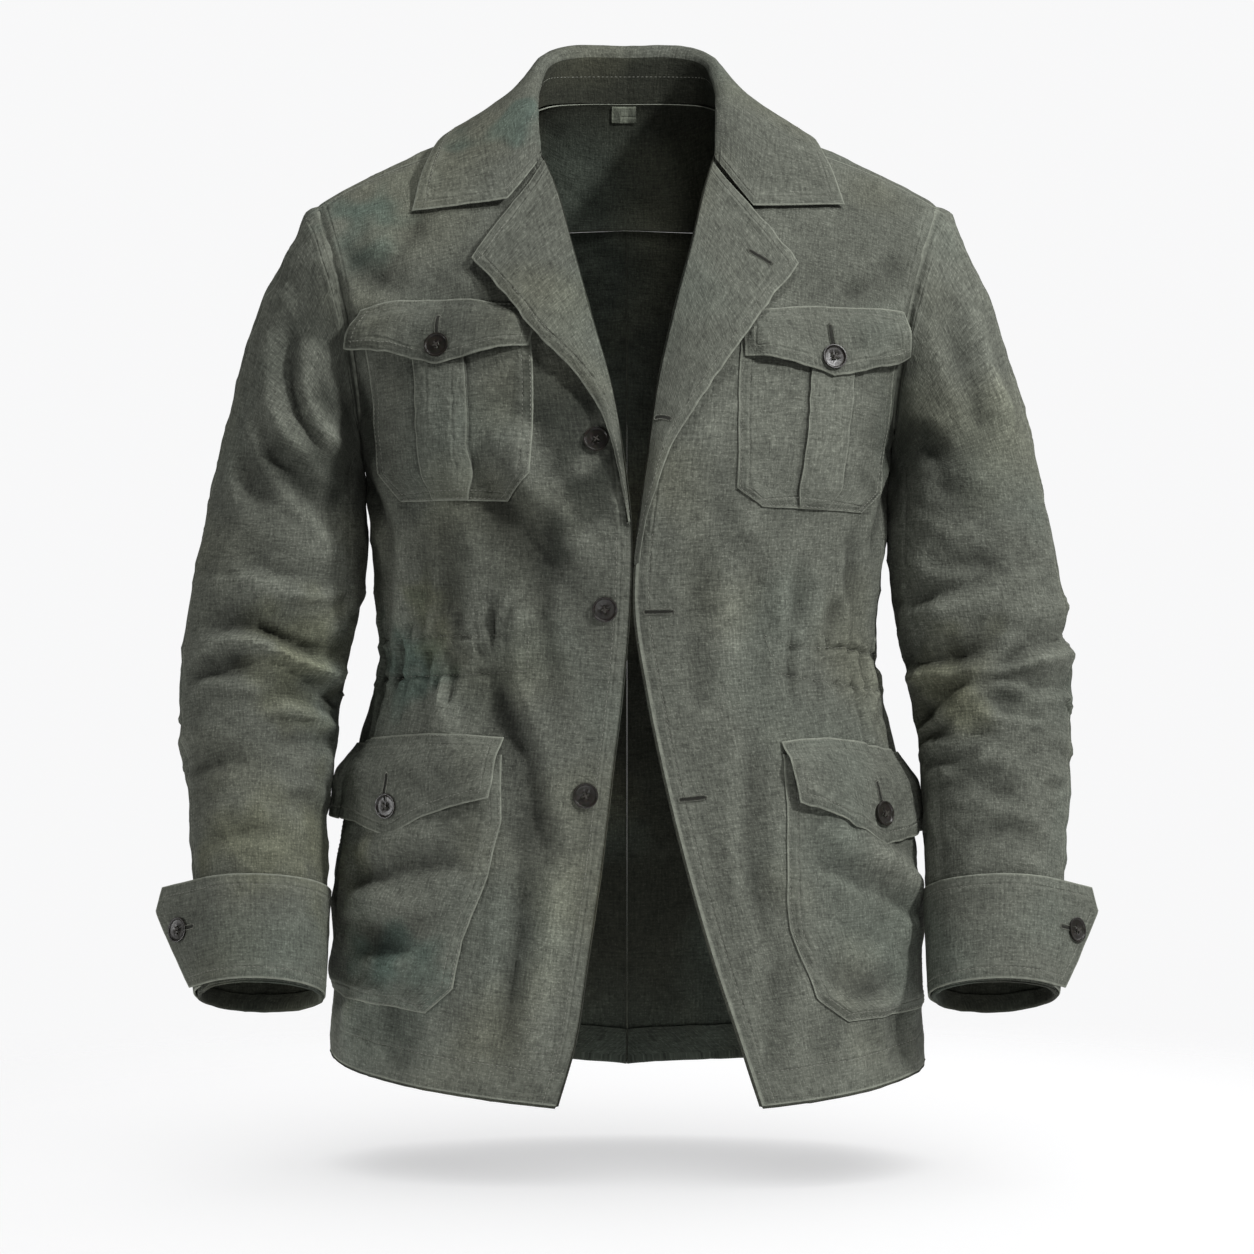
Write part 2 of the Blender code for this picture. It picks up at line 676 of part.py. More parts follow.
def build_collar():
    half = [0.985, 0.94, 0.88, 0.82, 0.76, 0.70, 0.64, 0.58, 0.50, 0.41, 0.28, 0.14]
    across = both_ways(half)
    down = [0.0, 0.08, 0.18, 0.42, 0.70, 1.0]
    outer = []
    inner = []
    for b in down:
        row = [collar_fall(2 * a - 1, b) for a in across]
        under = []
        for a, p in zip(across, row):
            away = from_neck(a)
            n = -away if b == 0.0 else normal_at(lambda c, d: collar_fall(2 * c - 1, d), a, b,
                                                 away * (b - 0.12) + Vector((0, 0, 0.4)))
            under.append(p - n * DOUBLE)
        outer.append(row)
        inner.append(under)
    skin("collar_fall", outer, inner)
    across = both_ways(half[2:])
    outer = [[collar_stand(2 * a - 1, t) for a in across] for t in (0.0, 0.5, 1.0)]
    inner = [[p + from_neck(a) * DOUBLE for a, p in zip(across, row)] for row in outer]
    skin("collar_stand", outer, inner)


# ---- cuffs ------------------------------------------------------------------------------
def cuff(side, q, t):
    """q along the band from its under end, t down the band."""
    x, y, z, width, depth, lean = curve(SLEEVE, lerp(CUFF_T, 1.0, t))
    proud = lerp(CUFF_PROUD, 0.0030, t)
    turn = CUFF_LEAVE - 2 * math.pi
    share = min(q / 0.86, 1.0)
    phi = lerp(CUFF_START, turn, share)
    lap = max(0.0, (phi - turn - 1.4) / -1.4)
    grow = proud + 0.0016 * lap * lap * (3 - 2 * lap)
    px = (width + grow) * math.cos(phi)
    py = (depth + grow) * math.sin(phi)
    if q > 0.86:
        run = (q - 0.86) / 0.14 * straight(TAB, t)[0]
        go = Vector(((width + grow) * math.sin(phi), -(depth + grow) * math.cos(phi), 0.0)).normalized()
        px += go.x * run
        py += go.y * run
    return Vector((side * (x + px), y - py * math.cos(lean), z + py * math.sin(lean)))


def cuff_facing(side, q):
    phi = lerp(CUFF_START, CUFF_LEAVE - 2 * math.pi, min(q / 0.86, 1.0))
    return Vector((side * math.cos(phi), -math.sin(phi), 0.0))


def build_cuffs():
    across = steps(20, 0.0, 0.86) + [0.86 + 0.14 * k / 3 for k in (1, 2, 3)]
    for side, word in ((RIGHT, "right"), (LEFT, "left")):
        panel("cuff_" + word, lambda q, t: cuff(side, q, t), lambda q, t: cuff_facing(side, q),
              across, [0.0, 0.2, 1.0], DOUBLE)


# ---- label and buttons ---------------------------------------------------------------------
def build_label():
    across = (-0.040, -0.010, 0.024)
    outer = []
    inner = []
    for t in (0.02, 0.15):
        spots = [(yoke(s, t), normal_at(lambda a, b: yoke(2 * a - 1, b), 0.5 + s / 2, t, (0, 1, 1)))
                 for s in across]
        outer.append([p - n * (WALL + 0.0015) for p, n in spots])
        inner.append([p - n * (WALL + 0.0022) for p, n in spots])
    skin("neck_label", outer, inner, "label")


def button(name, centre, normal):
    """Turned button with a raised rim and four thread holes."""
    sides = 20
    profile = (  # radius share, height share
        (0.00, 0.00), (0.80, 0.00), (1.00, 0.30), (1.00, 0.75), (0.92, 1.00), (0.78, 1.00), (0.66, 0.72),
    )
    bm = bmesh.new()
    rings = []
    for radius, height in profile[1:]:
        rings.append([bm.verts.new((BUTTON_R * radius * math.cos(2 * math.pi * i / sides),
                                    BUTTON_R * radius * math.sin(2 * math.pi * i / sides),
                                    BUTTON_T * height)) for i in range(sides)])
    for low, high in zip(rings, rings[1:]):
        for i in range(sides):
            j = (i + 1) % sides
            bm.faces.new((low[i], low[j], high[j], high[i]))
    bm.faces.new(list(reversed(rings[0])))
    bm.faces.new(rings[-1])
    thing = finish(name, bm, "button")
    holes = bmesh.new()
    for k in range(4):
        angle = math.pi / 4 + k * math.pi / 2
        drill = bmesh.ops.create_cone(holes, cap_ends=True, segments=8, radius1=0.0010, radius2=0.0010, depth=0.02)
        shift = Vector((0.0026 * math.cos(angle), 0.0026 * math.sin(angle), 0.0))
        bmesh.ops.translate(holes, verts=drill["verts"], vec=shift)
    mesh = bpy.data.meshes.new("drills")
    holes.to_mesh(mesh)
    holes.free()
    drills = bpy.data.objects.new("drills", mesh)
    bpy.context.scene.collection.objects.link(drills)
    cut = thing.modifiers.new("holes", "BOOLEAN")
    cut.operation = "DIFFERENCE"
    cut.solver = "EXACT"
    cut.object = drills
    bpy.context.view_layer.update()
    solid = bpy.data.meshes.new_from_object(thing.evaluated_get(bpy.context.evaluated_depsgraph_get()))
    thing.modifiers.clear()
    thing.data = solid
    bpy.data.objects.remove(drills, do_unlink=True)
    turn = Vector((0, 0, 1)).rotation_difference(normal).to_matrix().to_4x4()
    turn.translation = centre
    solid.transform(turn)


def build_buttons():
    for word, u, v in (("top", 0.0480, 0.6300), ("middle", 0.0554, 0.4762), ("low", 0.0479, 0.3067)):
        n = front_normal(RIGHT, u, v)
        button("front_button_" + word, front(RIGHT, u, v) + n * 0.0006, n)
    for side, word, u, v in ((RIGHT, "right", 0.4385, 0.7494), (LEFT, "left", 0.4866, 0.7439)):
        n = front_normal(side, u, v)
        stack = POCKET_AIR + WALL + OVER + PLEAT_RISE + DOUBLE
        button("chest_button_" + word, front(side, u, v) + n * (stack + 0.0008), n)
    for side, word, u, v in ((RIGHT, "right", 0.5741, 0.2720), (LEFT, "left", 0.6106, 0.2660)):
        n = front_normal(side, u, v)
        button("hip_button_" + word, front(side, u, v) + n * 0.0107, n)
    for side, word in ((RIGHT, "right"), (LEFT, "left")):
        p = cuff(side, 0.945, 0.40)
        n = normal_at(lambda q, t: cuff(side, q, t), 0.945, 0.40, cuff_facing(side, 0.945))
        button("cuff_button_" + word, p + n * 0.0006, n)


def clear_scene():
    for thing in list(bpy.data.objects):
        bpy.data.objects.remove(thing, do_unlink=True)


clear_scene()
build_body()
build_sleeves()
build_lapels()
build_pockets()
build_collar()
build_cuffs()
build_label()
build_buttons()
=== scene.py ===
import json
import math
from bisect import bisect_right

import bmesh
import bpy
import numpy as np
from mathutils import Matrix, Vector, noise

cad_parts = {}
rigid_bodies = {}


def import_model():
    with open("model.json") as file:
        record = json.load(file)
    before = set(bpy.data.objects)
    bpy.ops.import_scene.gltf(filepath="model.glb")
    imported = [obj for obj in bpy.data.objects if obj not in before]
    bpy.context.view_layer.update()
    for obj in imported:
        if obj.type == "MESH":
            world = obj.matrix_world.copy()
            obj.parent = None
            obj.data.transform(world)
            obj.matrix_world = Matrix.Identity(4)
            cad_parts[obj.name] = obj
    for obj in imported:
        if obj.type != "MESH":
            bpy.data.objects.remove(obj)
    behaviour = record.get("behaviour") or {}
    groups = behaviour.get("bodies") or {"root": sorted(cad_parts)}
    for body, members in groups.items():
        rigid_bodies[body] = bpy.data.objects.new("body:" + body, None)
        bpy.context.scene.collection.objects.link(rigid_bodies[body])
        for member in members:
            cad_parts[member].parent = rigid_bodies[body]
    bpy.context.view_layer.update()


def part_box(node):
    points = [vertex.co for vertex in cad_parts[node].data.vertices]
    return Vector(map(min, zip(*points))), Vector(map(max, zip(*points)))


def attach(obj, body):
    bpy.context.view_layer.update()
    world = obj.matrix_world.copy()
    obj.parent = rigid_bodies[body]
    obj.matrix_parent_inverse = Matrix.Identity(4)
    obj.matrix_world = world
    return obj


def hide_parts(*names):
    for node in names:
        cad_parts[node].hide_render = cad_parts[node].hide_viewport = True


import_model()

for thing in bpy.data.objects:
    thing.select_set(False)


# ---- the two fronts ------------------------------------------------------------
# Each front is one panel of washed linen from the shoulder to the hem, folded in
# along the front edge and turned up at the hem.  It hangs from the yoke seam and
# is drawn in at the waist by a tape casing, which gathers the cloth round it.
RIGHT = -1
LEFT = 1
SIDES = ((RIGHT, "right"), (LEFT, "left"))
LAYER = 0.0009  # one layer of linen
STEP = 0.0036  # spacing of the net a panel is shaped on
CHEST_HALF = 0.195
WAIST_HALF = 0.181
HEM_HALF = 0.2200
ARM_V = 0.62
ARM_MIDDLE = (0.20925, -0.090, -0.180)
ARM_DEPTH = 0.062
ARM_HEIGHT = 0.090
SEAM_HOLD = 0.012  # how far a seam holds the cloth smooth
HEM_SIDE_Z = {RIGHT: -0.7115, LEFT: -0.7185}
FRONT_ARM = 0.25
BACK_ARM = -0.68
SHOULDER_RISE = 0.004
HEM = 0.026
HEM_BEND = 0.0012
HEM_STITCH = 0.0235
FRONT_FOLD = 0.045
ON_TOP = 0.0002  # how high stitches lie on the cloth
WEAR_AND_SHADE = 400  # turns the height of a crease into colour: paler on rubbed ridges, painted shade in troughs
FAR = 0.05  # edge distance of cloth that is away from every stitched edge
CREASED = {  # how hard the creases of each table are pressed
    "front": 1.5, "back": 1.4, "sleeve": 1.45, "pocket": 1.5,
}
CASING_DEPTH = 0.0030
CASING_WIDTH = 0.0022

BODY = [  # z, half_width, side_y
    (-0.740, HEM_HALF, -0.106),
    (-0.670, 0.2165, -0.106),
    (-0.610, 0.2130, -0.105),
    (-0.550, 0.2065, -0.104),
    (-0.480, 0.1945, -0.102),
    (-0.450, 0.1865, -0.101),
    (-0.420, WAIST_HALF, -0.100),
    (-0.390, 0.1840, -0.099),
    (-0.340, 0.1885, -0.097),
    (-0.300, 0.1918, -0.094),
    (-0.270, CHEST_HALF, -0.090),
]

FRONT_EDGE = [  # v, z, y, x_right, x_left
    (0.00, -0.7390, -0.238, -0.0502, 0.0950),
    (0.08, -0.6920, -0.237, -0.0370, 0.0795),
    (0.16, -0.6360, -0.235, -0.0285, 0.0610),
    (0.24, -0.5750, -0.232, -0.0195, 0.0435),
    (0.32, -0.5120, -0.228, -0.0120, 0.0278),
    (0.40, -0.4500, -0.225, -0.0045, 0.0150),
    (0.48, -0.3880, -0.228, 0.0008, 0.0058),
    (0.55, -0.3350, -0.234, 0.0018, 0.0086),
    (0.61, -0.2870, -0.232, -0.0030, 0.0150),
    (0.68, -0.2330, -0.218, -0.0125, 0.0225),
    (0.76, -0.1780, -0.196, -0.0275, 0.0345),
    (0.84, -0.1250, -0.162, -0.0415, 0.0480),
    (0.92, -0.0740, -0.124, -0.0560, 0.0600),
    (0.95, -0.0560, -0.108, -0.0635, 0.0655),
    (1.00, -0.0300, -0.083, -0.0780, 0.0780),
]

ROUND = [(0.00, 1.00), (0.70, 1.00), (0.85, 0.80), (1.00, 0.25)]


def lerp(a, b, t):
    return a + (b - a) * t


def slope_at(table, i, c):
    """Slope of column c at an inner row, weighted by its two spans."""
    a = table[i][0] - table[i - 1][0]
    b = table[i + 1][0] - table[i][0]
    before = (table[i][c] - table[i - 1][c]) / a
    after = (table[i + 1][c] - table[i][c]) / b
    return (before * b + after * a) / (a + b)


def bracket(keys, key):
    """Span of the rising keys that holds a key, and the share of it."""
    i = min(max(bisect_right(keys, key) - 1, 0), len(keys) - 2)
    return i, (key - keys[i]) / (keys[i + 1] - keys[i])


def curve(table, key):
    """Smooth row of a table at a key; column 0 holds the keys, rising."""
    keys = [row[0] for row in table]
    i, t = bracket(keys, min(max(key, keys[0]), keys[-1]))
    span = keys[i + 1] - keys[i]
    row = []
    for c in range(1, len(table[0])):
        p0 = table[i][c]
        p1 = table[i + 1][c]
        chord = (p1 - p0) / span
        m0 = chord if i == 0 else slope_at(table, i, c)
        m1 = chord if i + 2 == len(keys) else slope_at(table, i + 1, c)
        value = (2 * t ** 3 - 3 * t ** 2 + 1) * p0 + (3 * t ** 2 - 2 * t ** 3) * p1
        value += (t ** 3 - 2 * t ** 2 + t) * span * m0 + (t ** 3 - t ** 2) * span * m1
        row.append(value)
    return row


def straight(table, key):
    """Row of a table at a key with straight runs between its rows."""
    keys = [row[0] for row in table]
    i, t = bracket(keys, min(max(key, keys[0]), keys[-1]))
    return [lerp(a, b, t) for a, b in zip(table[i][1:], table[i + 1][1:])]


def armhole(side, phi):
    """Armhole loop: 0 at the shoulder tip, +90 degrees at the front."""
    x = ARM_MIDDLE[0] + 0.018 * math.cos(phi) - 0.0015 * math.sin(phi) + 0.00375 * math.cos(2 * phi)
    y = ARM_MIDDLE[1] - ARM_DEPTH * math.sin(phi)
    z = ARM_MIDDLE[2] + ARM_HEIGHT * math.cos(phi)
    return Vector((side * x, y, z))


def side_line(side, v, arm_end):
    """Outer end of a panel's row: side seam below, armhole above."""
    if v < ARM_V:
        z = lerp(HEM_SIDE_Z[side], -0.270, v / ARM_V)
        half, y = curve(BODY, z)
        return Vector((side * half, y, z))
    start = math.pi if arm_end > 0 else -math.pi
    return armhole(side, lerp(start, arm_end, (v - ARM_V) / (1 - ARM_V)))


def bow(inner, outer, u, roundness):
    sx = lerp(u, math.sin(math.pi * u / 2), roundness)
    sy = lerp(u, 1 - math.cos(math.pi * u / 2), roundness)
    return Vector((lerp(inner.x, outer.x, sx), lerp(inner.y, outer.y, sy), lerp(inner.z, outer.z, u)))


def front(side, u, v):
    """Outer face of a front: u from the front edge to the side, v from the hem up."""
    z, y, right, left = curve(FRONT_EDGE, v)
    inner = Vector((right if side == RIGHT else left, y, z))
    outer = side_line(side, v, FRONT_ARM)
    p = bow(inner, outer, u, curve(ROUND, v)[0])
    rise = max(0.0, (v - 0.80) / 0.20)
    p.z += SHOULDER_RISE * rise * 4 * u * (1 - u)
    return p


def grid(surface, across, along):
    return np.array([[tuple(surface(a, b)) for a in across] for b in along])


def unit(vectors):
    return vectors / (np.linalg.norm(vectors, axis=-1, keepdims=True) + 1e-12)


def normals(points, look):
    """Unit normals of a grid, all on the side that look points to on average."""
    n = unit(np.cross(np.gradient(points, axis=1), np.gradient(points, axis=0)))
    return n if np.sum(n * look) > 0 else -n


def outward(points, middle=-0.10):
    """Level directions away from an upright line in the jacket at a y."""
    away = points - np.array([0.0, middle, 0.0])
    away[:, :, 2] = 0.0
    return away


def spaced(length, near=(), start=False, end=False, step=None):
    """Shares 0..1 of a length in even steps, closer at the ends and at the given shares."""
    count = max(2, math.ceil(length / (step or STEP)))
    stops = {i / count for i in range(count + 1)}
    closer = [0.0003, 0.0008, 0.0016, 0.0026]
    for x in near:
        stops.update(x + d / length for d in (-0.0008, -0.0003, 0.0003, 0.0008))
    if start:
        stops.update(d / length for d in closer)
    if end:
        stops.update(1 - d / length for d in closer)
    out = [0.0]
    for x in sorted(stops):
        if x - out[-1] > 0.00025 / length and 0 < x <= 1:
            out.append(x)
    out[-1] = 1.0
    return out


def margins(points):
    """Distance of every grid point from the grid's left, right, first and last edges."""
    across = np.linalg.norm(np.diff(points, axis=1), axis=2)
    along = np.linalg.norm(np.diff(points, axis=0), axis=2)
    left = np.pad(np.cumsum(across, axis=1), ((0, 0), (1, 0)))
    low = np.pad(np.cumsum(along, axis=0), ((1, 0), (0, 0)))
    return {"left": left, "right": left[:, -1:] - left, "low": low, "high": low[-1:, :] - low}


def edge_gap(gap, *sides):
    """Distance from the nearest of the named edges."""
    return np.minimum.reduce([gap[side] for side in sides])


def turned_up(gap):
    """Edge distance over a hem: rubbed at the fold, then as far as its row of stitches."""
    return np.where(gap < 0.006, gap, np.maximum(gap - 0.0155, 0.006))


def ease(x):
    x = np.clip(x, 0.0, 1.0)
    return x * x * (3 - 2 * x)


def smooth_path(spots, pieces=6):
    """Points on one smooth line through the given points."""
    p = [np.array(tuple(s)) for s in spots]
    p = [2 * p[0] - p[1]] + p + [2 * p[-1] - p[-2]]
    out = []
    for a, b, c, d in zip(p, p[1:], p[2:], p[3:]):
        for k in range(pieces):
            t = k / pieces
            out.append(0.5 * (2 * b + (c - a) * t + (2 * a - 5 * b + 4 * c - d) * t * t
                              + (3 * b - a - 3 * c + d) * t ** 3))
    out.append(p[-2])
    return np.array(out)


def fold_lift(points, facing, folds, at):
    """Height of soft folds over a grid.

    A fold is (height, width, lean, spots): a ridge above zero, a trough below;
    lean makes one flank steeper; it dies away at both ends of its line."""
    lift = np.zeros(points.shape[:2])
    for height, width, lean, spots in folds:
        path = smooth_path([at(*s) for s in spots])
        low = path.min(axis=0) - 4 * width
        high = path.max(axis=0) + 4 * width
        rows, cols = np.nonzero(np.all((points > low) & (points < high), axis=2))
        if not len(rows):
            continue
        p = points[rows, cols]
        n = facing[rows, cols]
        best = np.full(len(p), 1e9)
        across = np.zeros(len(p))
        share = np.zeros(len(p))
        spans = np.linalg.norm(np.diff(path, axis=0), axis=1)
        run = np.concatenate(([0.0], np.cumsum(spans))) / spans.sum()
        for i in range(len(path) - 1):
            go = path[i + 1] - path[i]
            t = np.clip((p - path[i]) @ go / (go @ go), 0, 1)
            off = p - path[i] - t[:, None] * go
            d = np.linalg.norm(off, axis=1)
            closer = d < best
            hand = np.sign(np.sum(off * np.cross(go, n), axis=1))
            best[closer] = d[closer]
            across[closer] = (hand * d)[closer]
            share[closer] = (run[i] + t * (run[i + 1] - run[i]))[closer]
        x = across / width
        x = np.abs(np.where(x > 0, x * (1 + lean), x * (1 - lean)))
        if height < 0:
            shape = np.exp(-1.2 * x ** 1.2) - 0.50 * np.exp(-((x - 1.75) / 0.8) ** 2)
        else:
            shape = np.exp(-x ** 2) - 0.30 * np.exp(-((x - 1.9) / 0.8) ** 2)
        wave = 1 + 0.22 * np.sin(share * 9.0 + height * 4000 + width * 900)
        lift[rows, cols] += height * shape * wave * ease(share / 0.28) * ease((1 - share) / 0.28)
    return lift


def crumple(points, coarse, fine, shift=0.0):
    """Uneven lie of washed linen: slow swells and a net of low sharp creases."""
    flat = points.reshape(-1, 3)
    out = np.empty(len(flat))
    for i, (x, y, z) in enumerate(flat):
        slow = noise.noise(Vector((x * 17 + shift, y * 17, z * 13)))
        mid = noise.noise(Vector((x * 39, y * 39 + shift, z * 31)))
        net = 1 - abs(noise.noise(Vector((x * 27, y * 27, z * 24 + shift + 7)))) * 2.2
        small = noise.noise(Vector((x * 105, y * 105 + shift, z * 92)))
        out[i] = coarse * (slow + 0.45 * mid) + fine * (max(net, 0.0) ** 3 * 1.3 + 0.8 * small)
    return out.reshape(points.shape[:2])


def seam_dip(distance, depth=0.0011, width=0.0028):
    return -depth * np.exp(-(distance / width) ** 2)


def gathers(line, above, below, pitch, seed, height=0.0026):
    """Short upright troughs along a drawn-in line of spots."""
    folds = []
    path = [np.array(s, dtype=float) for s in line]
    total = sum(np.linalg.norm((b - a) * (0.2, 0.74)) for a, b in zip(path, path[1:]))
    count = max(2, int(total / pitch))
    for k in range(count):
        wobble = noise.noise(Vector((k * 1.7 + seed, seed * 0.3, 0.5)))
        other = noise.noise(Vector((k * 2.3, seed + 4.1, 1.5)))
        share = (k + 0.5 + 0.9 * wobble) / count * (len(path) - 1)
        i = max(0, min(int(share), len(path) - 2))
        u, v = path[i] + (path[i + 1] - path[i]) * (share - i)
        up = above * max(0.30, 0.8 + 2.2 * other)
        down = below * max(0.30, 0.8 + 2.2 * wobble)
        tall = height * max(0.25, 1.0 + 1.7 * other)
        width = 0.0034 * (1 + 0.7 * other)
        folds.append((-tall, width, 0.5 * other,
                      [(u + 0.04 * wobble, v + up), (u, v + up * 0.3), (u, v - down * 0.3),
                       (u - 0.03 * other, v - down)]))
    return folds


def drawn_in(lift, points, facing, rows, at, reach, pitch, seed):
    """Adds the waist casing to a lift: a groove along each row, and the gathers it makes."""
    folds = []
    for k, row in enumerate(rows):
        folds += gathers(row, *reach, pitch, seed + k)
        groove = [(row[0][0] - 0.05, row[0][1])] + row + [(1.1, row[-1][1])]
        lift += fold_lift(points, facing, [(-CASING_DEPTH, CASING_WIDTH, 0.0, groove)], at) * 0.9
    return lift + fold_lift(points, facing, folds, at)


def sample(points, us, vs, u, v):
    """Point of a grid at shares u, v by straight runs between its stations."""
    i, s = bracket(vs, v)
    j, t = bracket(us, u)
    return ((points[i, j] * (1 - t) + points[i, j + 1] * t) * (1 - s)
            + (points[i + 1, j] * (1 - t) + points[i + 1, j + 1] * t) * s)


def effect(name, inputs, outputs):
    """Empty shader node group with named sockets."""
    group = bpy.data.node_groups.new(name, "ShaderNodeTree")
    for word, kind, value in inputs:
        socket = group.interface.new_socket(name=word, in_out="INPUT", socket_type=kind)
        socket.default_value = value
    for word, kind in outputs:
        group.interface.new_socket(name=word, in_out="OUTPUT", socket_type=kind)
    start = group.nodes.new("NodeGroupInput")
    end = group.nodes.new("NodeGroupOutput")
    return group, start.outputs, end.inputs


def node(tree, kind, **values):
    """A new node; keys that name its sockets set or link them, others are its settings."""
    made = tree.nodes.new(kind)
    for key, value in values.items():
        if key.startswith("in_"):
            word = key[3:]
            socket = made.inputs[int(word) if word.isdigit() else word.replace("_", " ")]
            if isinstance(value, bpy.types.NodeSocket):
                tree.links.new(value, socket)
            else:
                socket.default_value = value
        else:
            setattr(made, key, value)
    return made


def sums(tree, operation, a, b=0.0, c=0.0):
    return node(tree, "ShaderNodeMath", operation=operation, in_0=a, in_1=b, in_2=c).outputs[0]


def blend_colours(tree, kind, share, a, b):
    made = node(tree, "ShaderNodeMix", data_type="RGBA", blend_type=kind, in_0=share)
    for socket, value in ((made.inputs[6], a), (made.inputs[7], b)):
        if isinstance(value, bpy.types.NodeSocket):
            tree.links.new(value, socket)
        else:
            socket.default_value = value
    return made.outputs[2]


# woven linen: fine warp and weft, short slubs in both, pale neps, height for the bump
weave, given, told = effect(
    "linen weave",
    [("Place", "NodeSocketVector", (0, 0, 0)), ("Colour", "NodeSocketColor", (0.13, 0.13, 0.1, 1)),
     ("Slub", "NodeSocketFloat", 0.16)],
    [("Colour", "NodeSocketColor"), ("Height", "NodeSocketFloat")])


def threads(size, detail):
    """Streaks along the warp and the weft, added together."""
    pair = []
    for way in ((size[0], size[1], 1.0), (size[1], size[0], 1.0)):
        drawn_out = node(weave, "ShaderNodeVectorMath", operation="MULTIPLY", in_0=given["Place"], in_1=way)
        streak = node(weave, "ShaderNodeTexNoise", noise_dimensions="2D", in_Scale=1.0, in_Detail=detail,
                      in_Roughness=0.6, in_Vector=drawn_out.outputs[0])
        pair.append(streak.outputs["Fac"])
    return sums(weave, "ADD", pair[0], pair[1])


fine_yarn = threads((1500.0, 300.0), 1.0)
slubs = threads((640.0, 95.0), 0.0)
specks = node(weave, "ShaderNodeTexNoise", noise_dimensions="2D", in_Vector=given["Place"], in_Scale=620.0,
              in_Detail=0.0)
nep = node(weave, "ShaderNodeMapRange", in_Value=specks.outputs["Fac"], in_From_Min=0.66, in_From_Max=0.78)
both = sums(weave, "MULTIPLY_ADD", fine_yarn, 1.3, sums(weave, "MULTIPLY_ADD", slubs, 1.1, nep.outputs[0]))
gain = sums(weave, "MULTIPLY_ADD", sums(weave, "SUBTRACT", both, 2.4), given["Slub"], 1.0)
scaled = node(weave, "ShaderNodeVectorMath", operation="SCALE", in_0=given["Colour"], in_Scale=gain)
weave.links.new(scaled.outputs[0], told["Colour"])
weave.links.new(sums(weave, "MULTIPLY_ADD", slubs, 0.6, fine_yarn), told["Height"])

# slow changes of tint from washing, painted shade (dark patches standing in for shadow)
# beside the right lapel, on the right chest and waist, low on the back and inside the upper
# sleeves, mottles from hand to fingertip size, and paler rubbed ridges with painted shade in creases
wash_and_shade, given, told = effect(
    "washed tint and painted shade",
    [("Place", "NodeSocketVector", (0, 0, 0)), ("Colour", "NodeSocketColor", (0.13, 0.13, 0.1, 1)),
     ("Worn", "NodeSocketFloat", 0.0)],
    [("Colour", "NodeSocketColor")])
tinted = given["Colour"]
for shift, size, low, high, colour in (
        ((0.0, 0.0, 0.0), 7.5, 0.50, 0.68, (0.086, 0.112, 0.094, 1)),
        ((3.1, 1.7, 5.3), 9.0, 0.52, 0.70, (0.135, 0.134, 0.088, 1))):
    moved = node(wash_and_shade, "ShaderNodeVectorMath", operation="ADD", in_0=given["Place"], in_1=shift)
    cloud = node(wash_and_shade, "ShaderNodeTexNoise", in_Vector=moved.outputs[0], in_Scale=size, in_Detail=1.0,
                 in_Roughness=0.55)
    patch = node(wash_and_shade, "ShaderNodeMapRange", in_Value=cloud.outputs["Fac"], in_From_Min=low, in_From_Max=high,
                 in_To_Max=0.26)
    tinted = blend_colours(wash_and_shade, "MIX", patch.outputs[0], tinted, colour)
ragged = node(wash_and_shade, "ShaderNodeTexNoise", in_Vector=given["Place"], in_Scale=26.0, in_Detail=1.0,
              in_Roughness=0.6)
TEAL = (0.060, 0.098, 0.082, 1)
MOSS = (0.130, 0.132, 0.070, 1)
